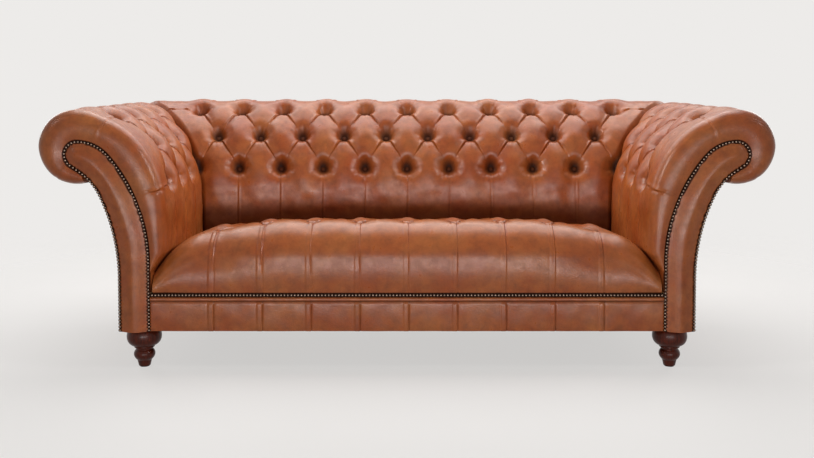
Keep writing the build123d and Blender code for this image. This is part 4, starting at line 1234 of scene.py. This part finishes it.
class FrontFeet(bpy.types.Operator):
    """Turned and polished front feet"""
    bl_idname = "sofa.front_feet"
    bl_label = "Front feet"

    def execute(self, context):
        low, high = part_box("front_foot_right")
        axis = (low + high) / 2
        clear = 1.0
        heights = np.linspace(TOE_LOW, BUN_EDGE, 120)
        profile = [(radius, height, clear) for radius, height in zip(foot_radius(heights), heights)]
        profile += [(BUN_TOP_RADIUS, FOOT_TOP, clear), (0.0, FOOT_TOP, clear)]
        right = turned("turned_foot_right", [((axis.x, axis.y, 0), (0, 0, 1))], profile, 48)
        finish_shell(right, [], 40.0)
        dress_pair(right, "mahogany", "front_foot")
        return {"FINISHED"}


class FrameFinishes(bpy.types.Operator):
    """Finishes of the frame, suspension, padding, outside panels and rear feet"""
    bl_idname = "sofa.frame_finishes"
    bl_label = "Frame and panels"

    def execute(self, context):
        for row in frame["record"]["subparts"]:
            slot = row["material_slot"]
            piece = frame["nodes"][row["node"]]
            piece.data.materials.clear()
            piece.data.materials.append(finish_of(slot))
            if slot == "leather" and "patina_and_painted_light" not in piece.data.attributes:
                layer = piece.data.attributes.new("patina_and_painted_light", "FLOAT", "POINT")
                layer.data.foreach_set("value", np.ones(len(piece.data.vertices), np.float32))
        return {"FINISHED"}


# Stage

def sees_backdrop(tree):
    """1 for rays that show the pale backdrop: the camera's, and those that metal and gloss mirror."""
    path = add(tree, "ShaderNodeLightPath").outputs
    mirror = add(tree, "ShaderNodeMath", [path["Is Glossy Ray"], path["Is Transmission Ray"]],
                 operation="MAXIMUM")
    return add(tree, "ShaderNodeMath", [path["Is Camera Ray"], mirror], operation="MAXIMUM")


def studio_floor():
    """Painted floor, level and matt, that fades into the backdrop away from the sofa."""
    material, tree, shader, place = new_material("studio floor, painted")
    patches = add(tree, "ShaderNodeTexNoise",
                  {"Vector": place, "Scale": repeats(900), "Detail": 3.0, "Roughness": 0.55})
    tint = add(tree, "ShaderNodeMix", {"Factor": patches, "A": linear("#8F8D8B"), "B": linear("#959391")},
               data_type="RGBA")
    feed(tree, shader, {"Base Color": tint, "Roughness": 0.9, "Emission Color": linear("#E9E7E5"),
                        "Emission Strength": 0.70})
    away = add(tree, "ShaderNodeVectorMath", [place], operation="LENGTH").outputs["Value"]
    fade = add(tree, "ShaderNodeMapRange", [away, 1.3, 3.2], interpolation_type="SMOOTHSTEP")
    clear = add(tree, "ShaderNodeBsdfTransparent")
    dim = add(tree, "ShaderNodeBsdfDiffuse", {"Color": linear("#A3A19F")})
    paint = add(tree, "ShaderNodeMixShader", [sees_backdrop(tree), dim, shader])
    mixed = add(tree, "ShaderNodeMixShader", [fade, paint, clear])
    feed(tree, tree.nodes["Material Output"], {"Surface": mixed})
    return material


def softbox(name, place, aim, width, height, watts, spread=180.0):
    """A soft rectangular lamp; a narrow spread is one with a grid."""
    light = bpy.data.lights.new(name, "AREA")
    light.shape = "RECTANGLE"
    light.size, light.size_y = width, height
    light.energy = watts
    light.spread = math.radians(spread)
    box = bpy.data.objects.new(name, light)
    box.location = place
    box.rotation_mode = "QUATERNION"
    box.rotation_quaternion = (Vector(aim) - Vector(place)).to_track_quat("-Z", "Y")
    bpy.context.scene.collection.objects.link(box)


class Stage(bpy.types.Operator):
    """Pale floor, soft studio light and the camera"""
    bl_idname = "sofa.stage"
    bl_label = "Stage"

    def execute(self, context):
        scene = context.scene
        scene.view_settings.view_transform = "Standard"
        reach = 30
        corners = [(-reach, -reach, 0), (reach, -reach, 0), (reach, reach, 0), (-reach, reach, 0)]
        floor = mesh_piece("floor", corners, [(0, 1, 2, 3)])
        floor.data.materials.append(studio_floor())

        scene.world = bpy.data.worlds.new("studio")
        scene.world.use_nodes = True
        tree = scene.world.node_tree
        tree.nodes.clear()
        seen = add(tree, "ShaderNodeBackground", [linear("#EDEBE9"), 1.0])
        glow = add(tree, "ShaderNodeBackground", [linear("#F4F1EC"), 0.05])
        mix = add(tree, "ShaderNodeMixShader", [sees_backdrop(tree), glow, seen])
        add(tree, "ShaderNodeOutputWorld", {"Surface": mix})

        softbox("overhead", (0, 0.65, 2.4), (0, -0.15, 0.5), 3.2, 2.0, 74)
        softbox("front", (0, -4.4, 0.40), (0, -0.4, 0.28), 3.4, 0.5, 84)
        for name, side in (("left", -1), ("right", 1)):
            softbox(name, (side * 2.6, -1.4, 2.4), (-side * 0.95, -0.05, 0.55), 0.6, 0.9, 1.9, spread=28.0)
            softbox("rear " + name, (side * 3.0, 2.6, 1.5), (side * 0.3, 0.3, 0.4), 1.2, 1.5, 22)

        lens = bpy.data.cameras.new("camera")
        lens.sensor_width = 36.0
        lens.lens = 43.45
        lens.shift_y = -0.125
        camera = bpy.data.objects.new("camera", lens)
        distance, eye_height, tilt = 3.0, 0.914, 3.0
        camera.location = (0, FRONT - distance, eye_height)
        camera.rotation_euler = (math.radians(90 - tilt), 0, 0)
        scene.collection.objects.link(camera)
        scene.camera = camera
        return {"FINISHED"}


class SofaPanel(bpy.types.Panel):
    """Steps of the sofa, in the order of making"""
    bl_idname = "VIEW3D_PT_sofa"
    bl_label = "Buttoned sofa"
    bl_space_type = "VIEW_3D"
    bl_region_type = "UI"
    bl_category = "Sofa"

    def draw(self, context):
        for step in STEPS:
            self.layout.operator(step.bl_idname)


STEPS = [BackCover, ArmCovers, SeatCover, FrontBorder, ArmFacings, Nails, Buttons, FrontFeet,
         FrameFinishes, Stage]
CLASSES = [SofaSizes, SofaColours] + STEPS + [SofaPanel]


def register():
    for kind in CLASSES:
        bpy.utils.register_class(kind)
    bpy.types.Scene.sofa_sizes = bpy.props.PointerProperty(type=SofaSizes)
    bpy.types.Scene.sofa_colours = bpy.props.PointerProperty(type=SofaColours)


def unregister():
    del bpy.types.Scene.sofa_colours
    del bpy.types.Scene.sofa_sizes
    for kind in reversed(CLASSES):
        bpy.utils.unregister_class(kind)


def main():
    register()
    for step in STEPS:
        group, name = step.bl_idname.split(".")
        getattr(getattr(bpy.ops, group), name)()


if __name__ == "__main__":
    main()
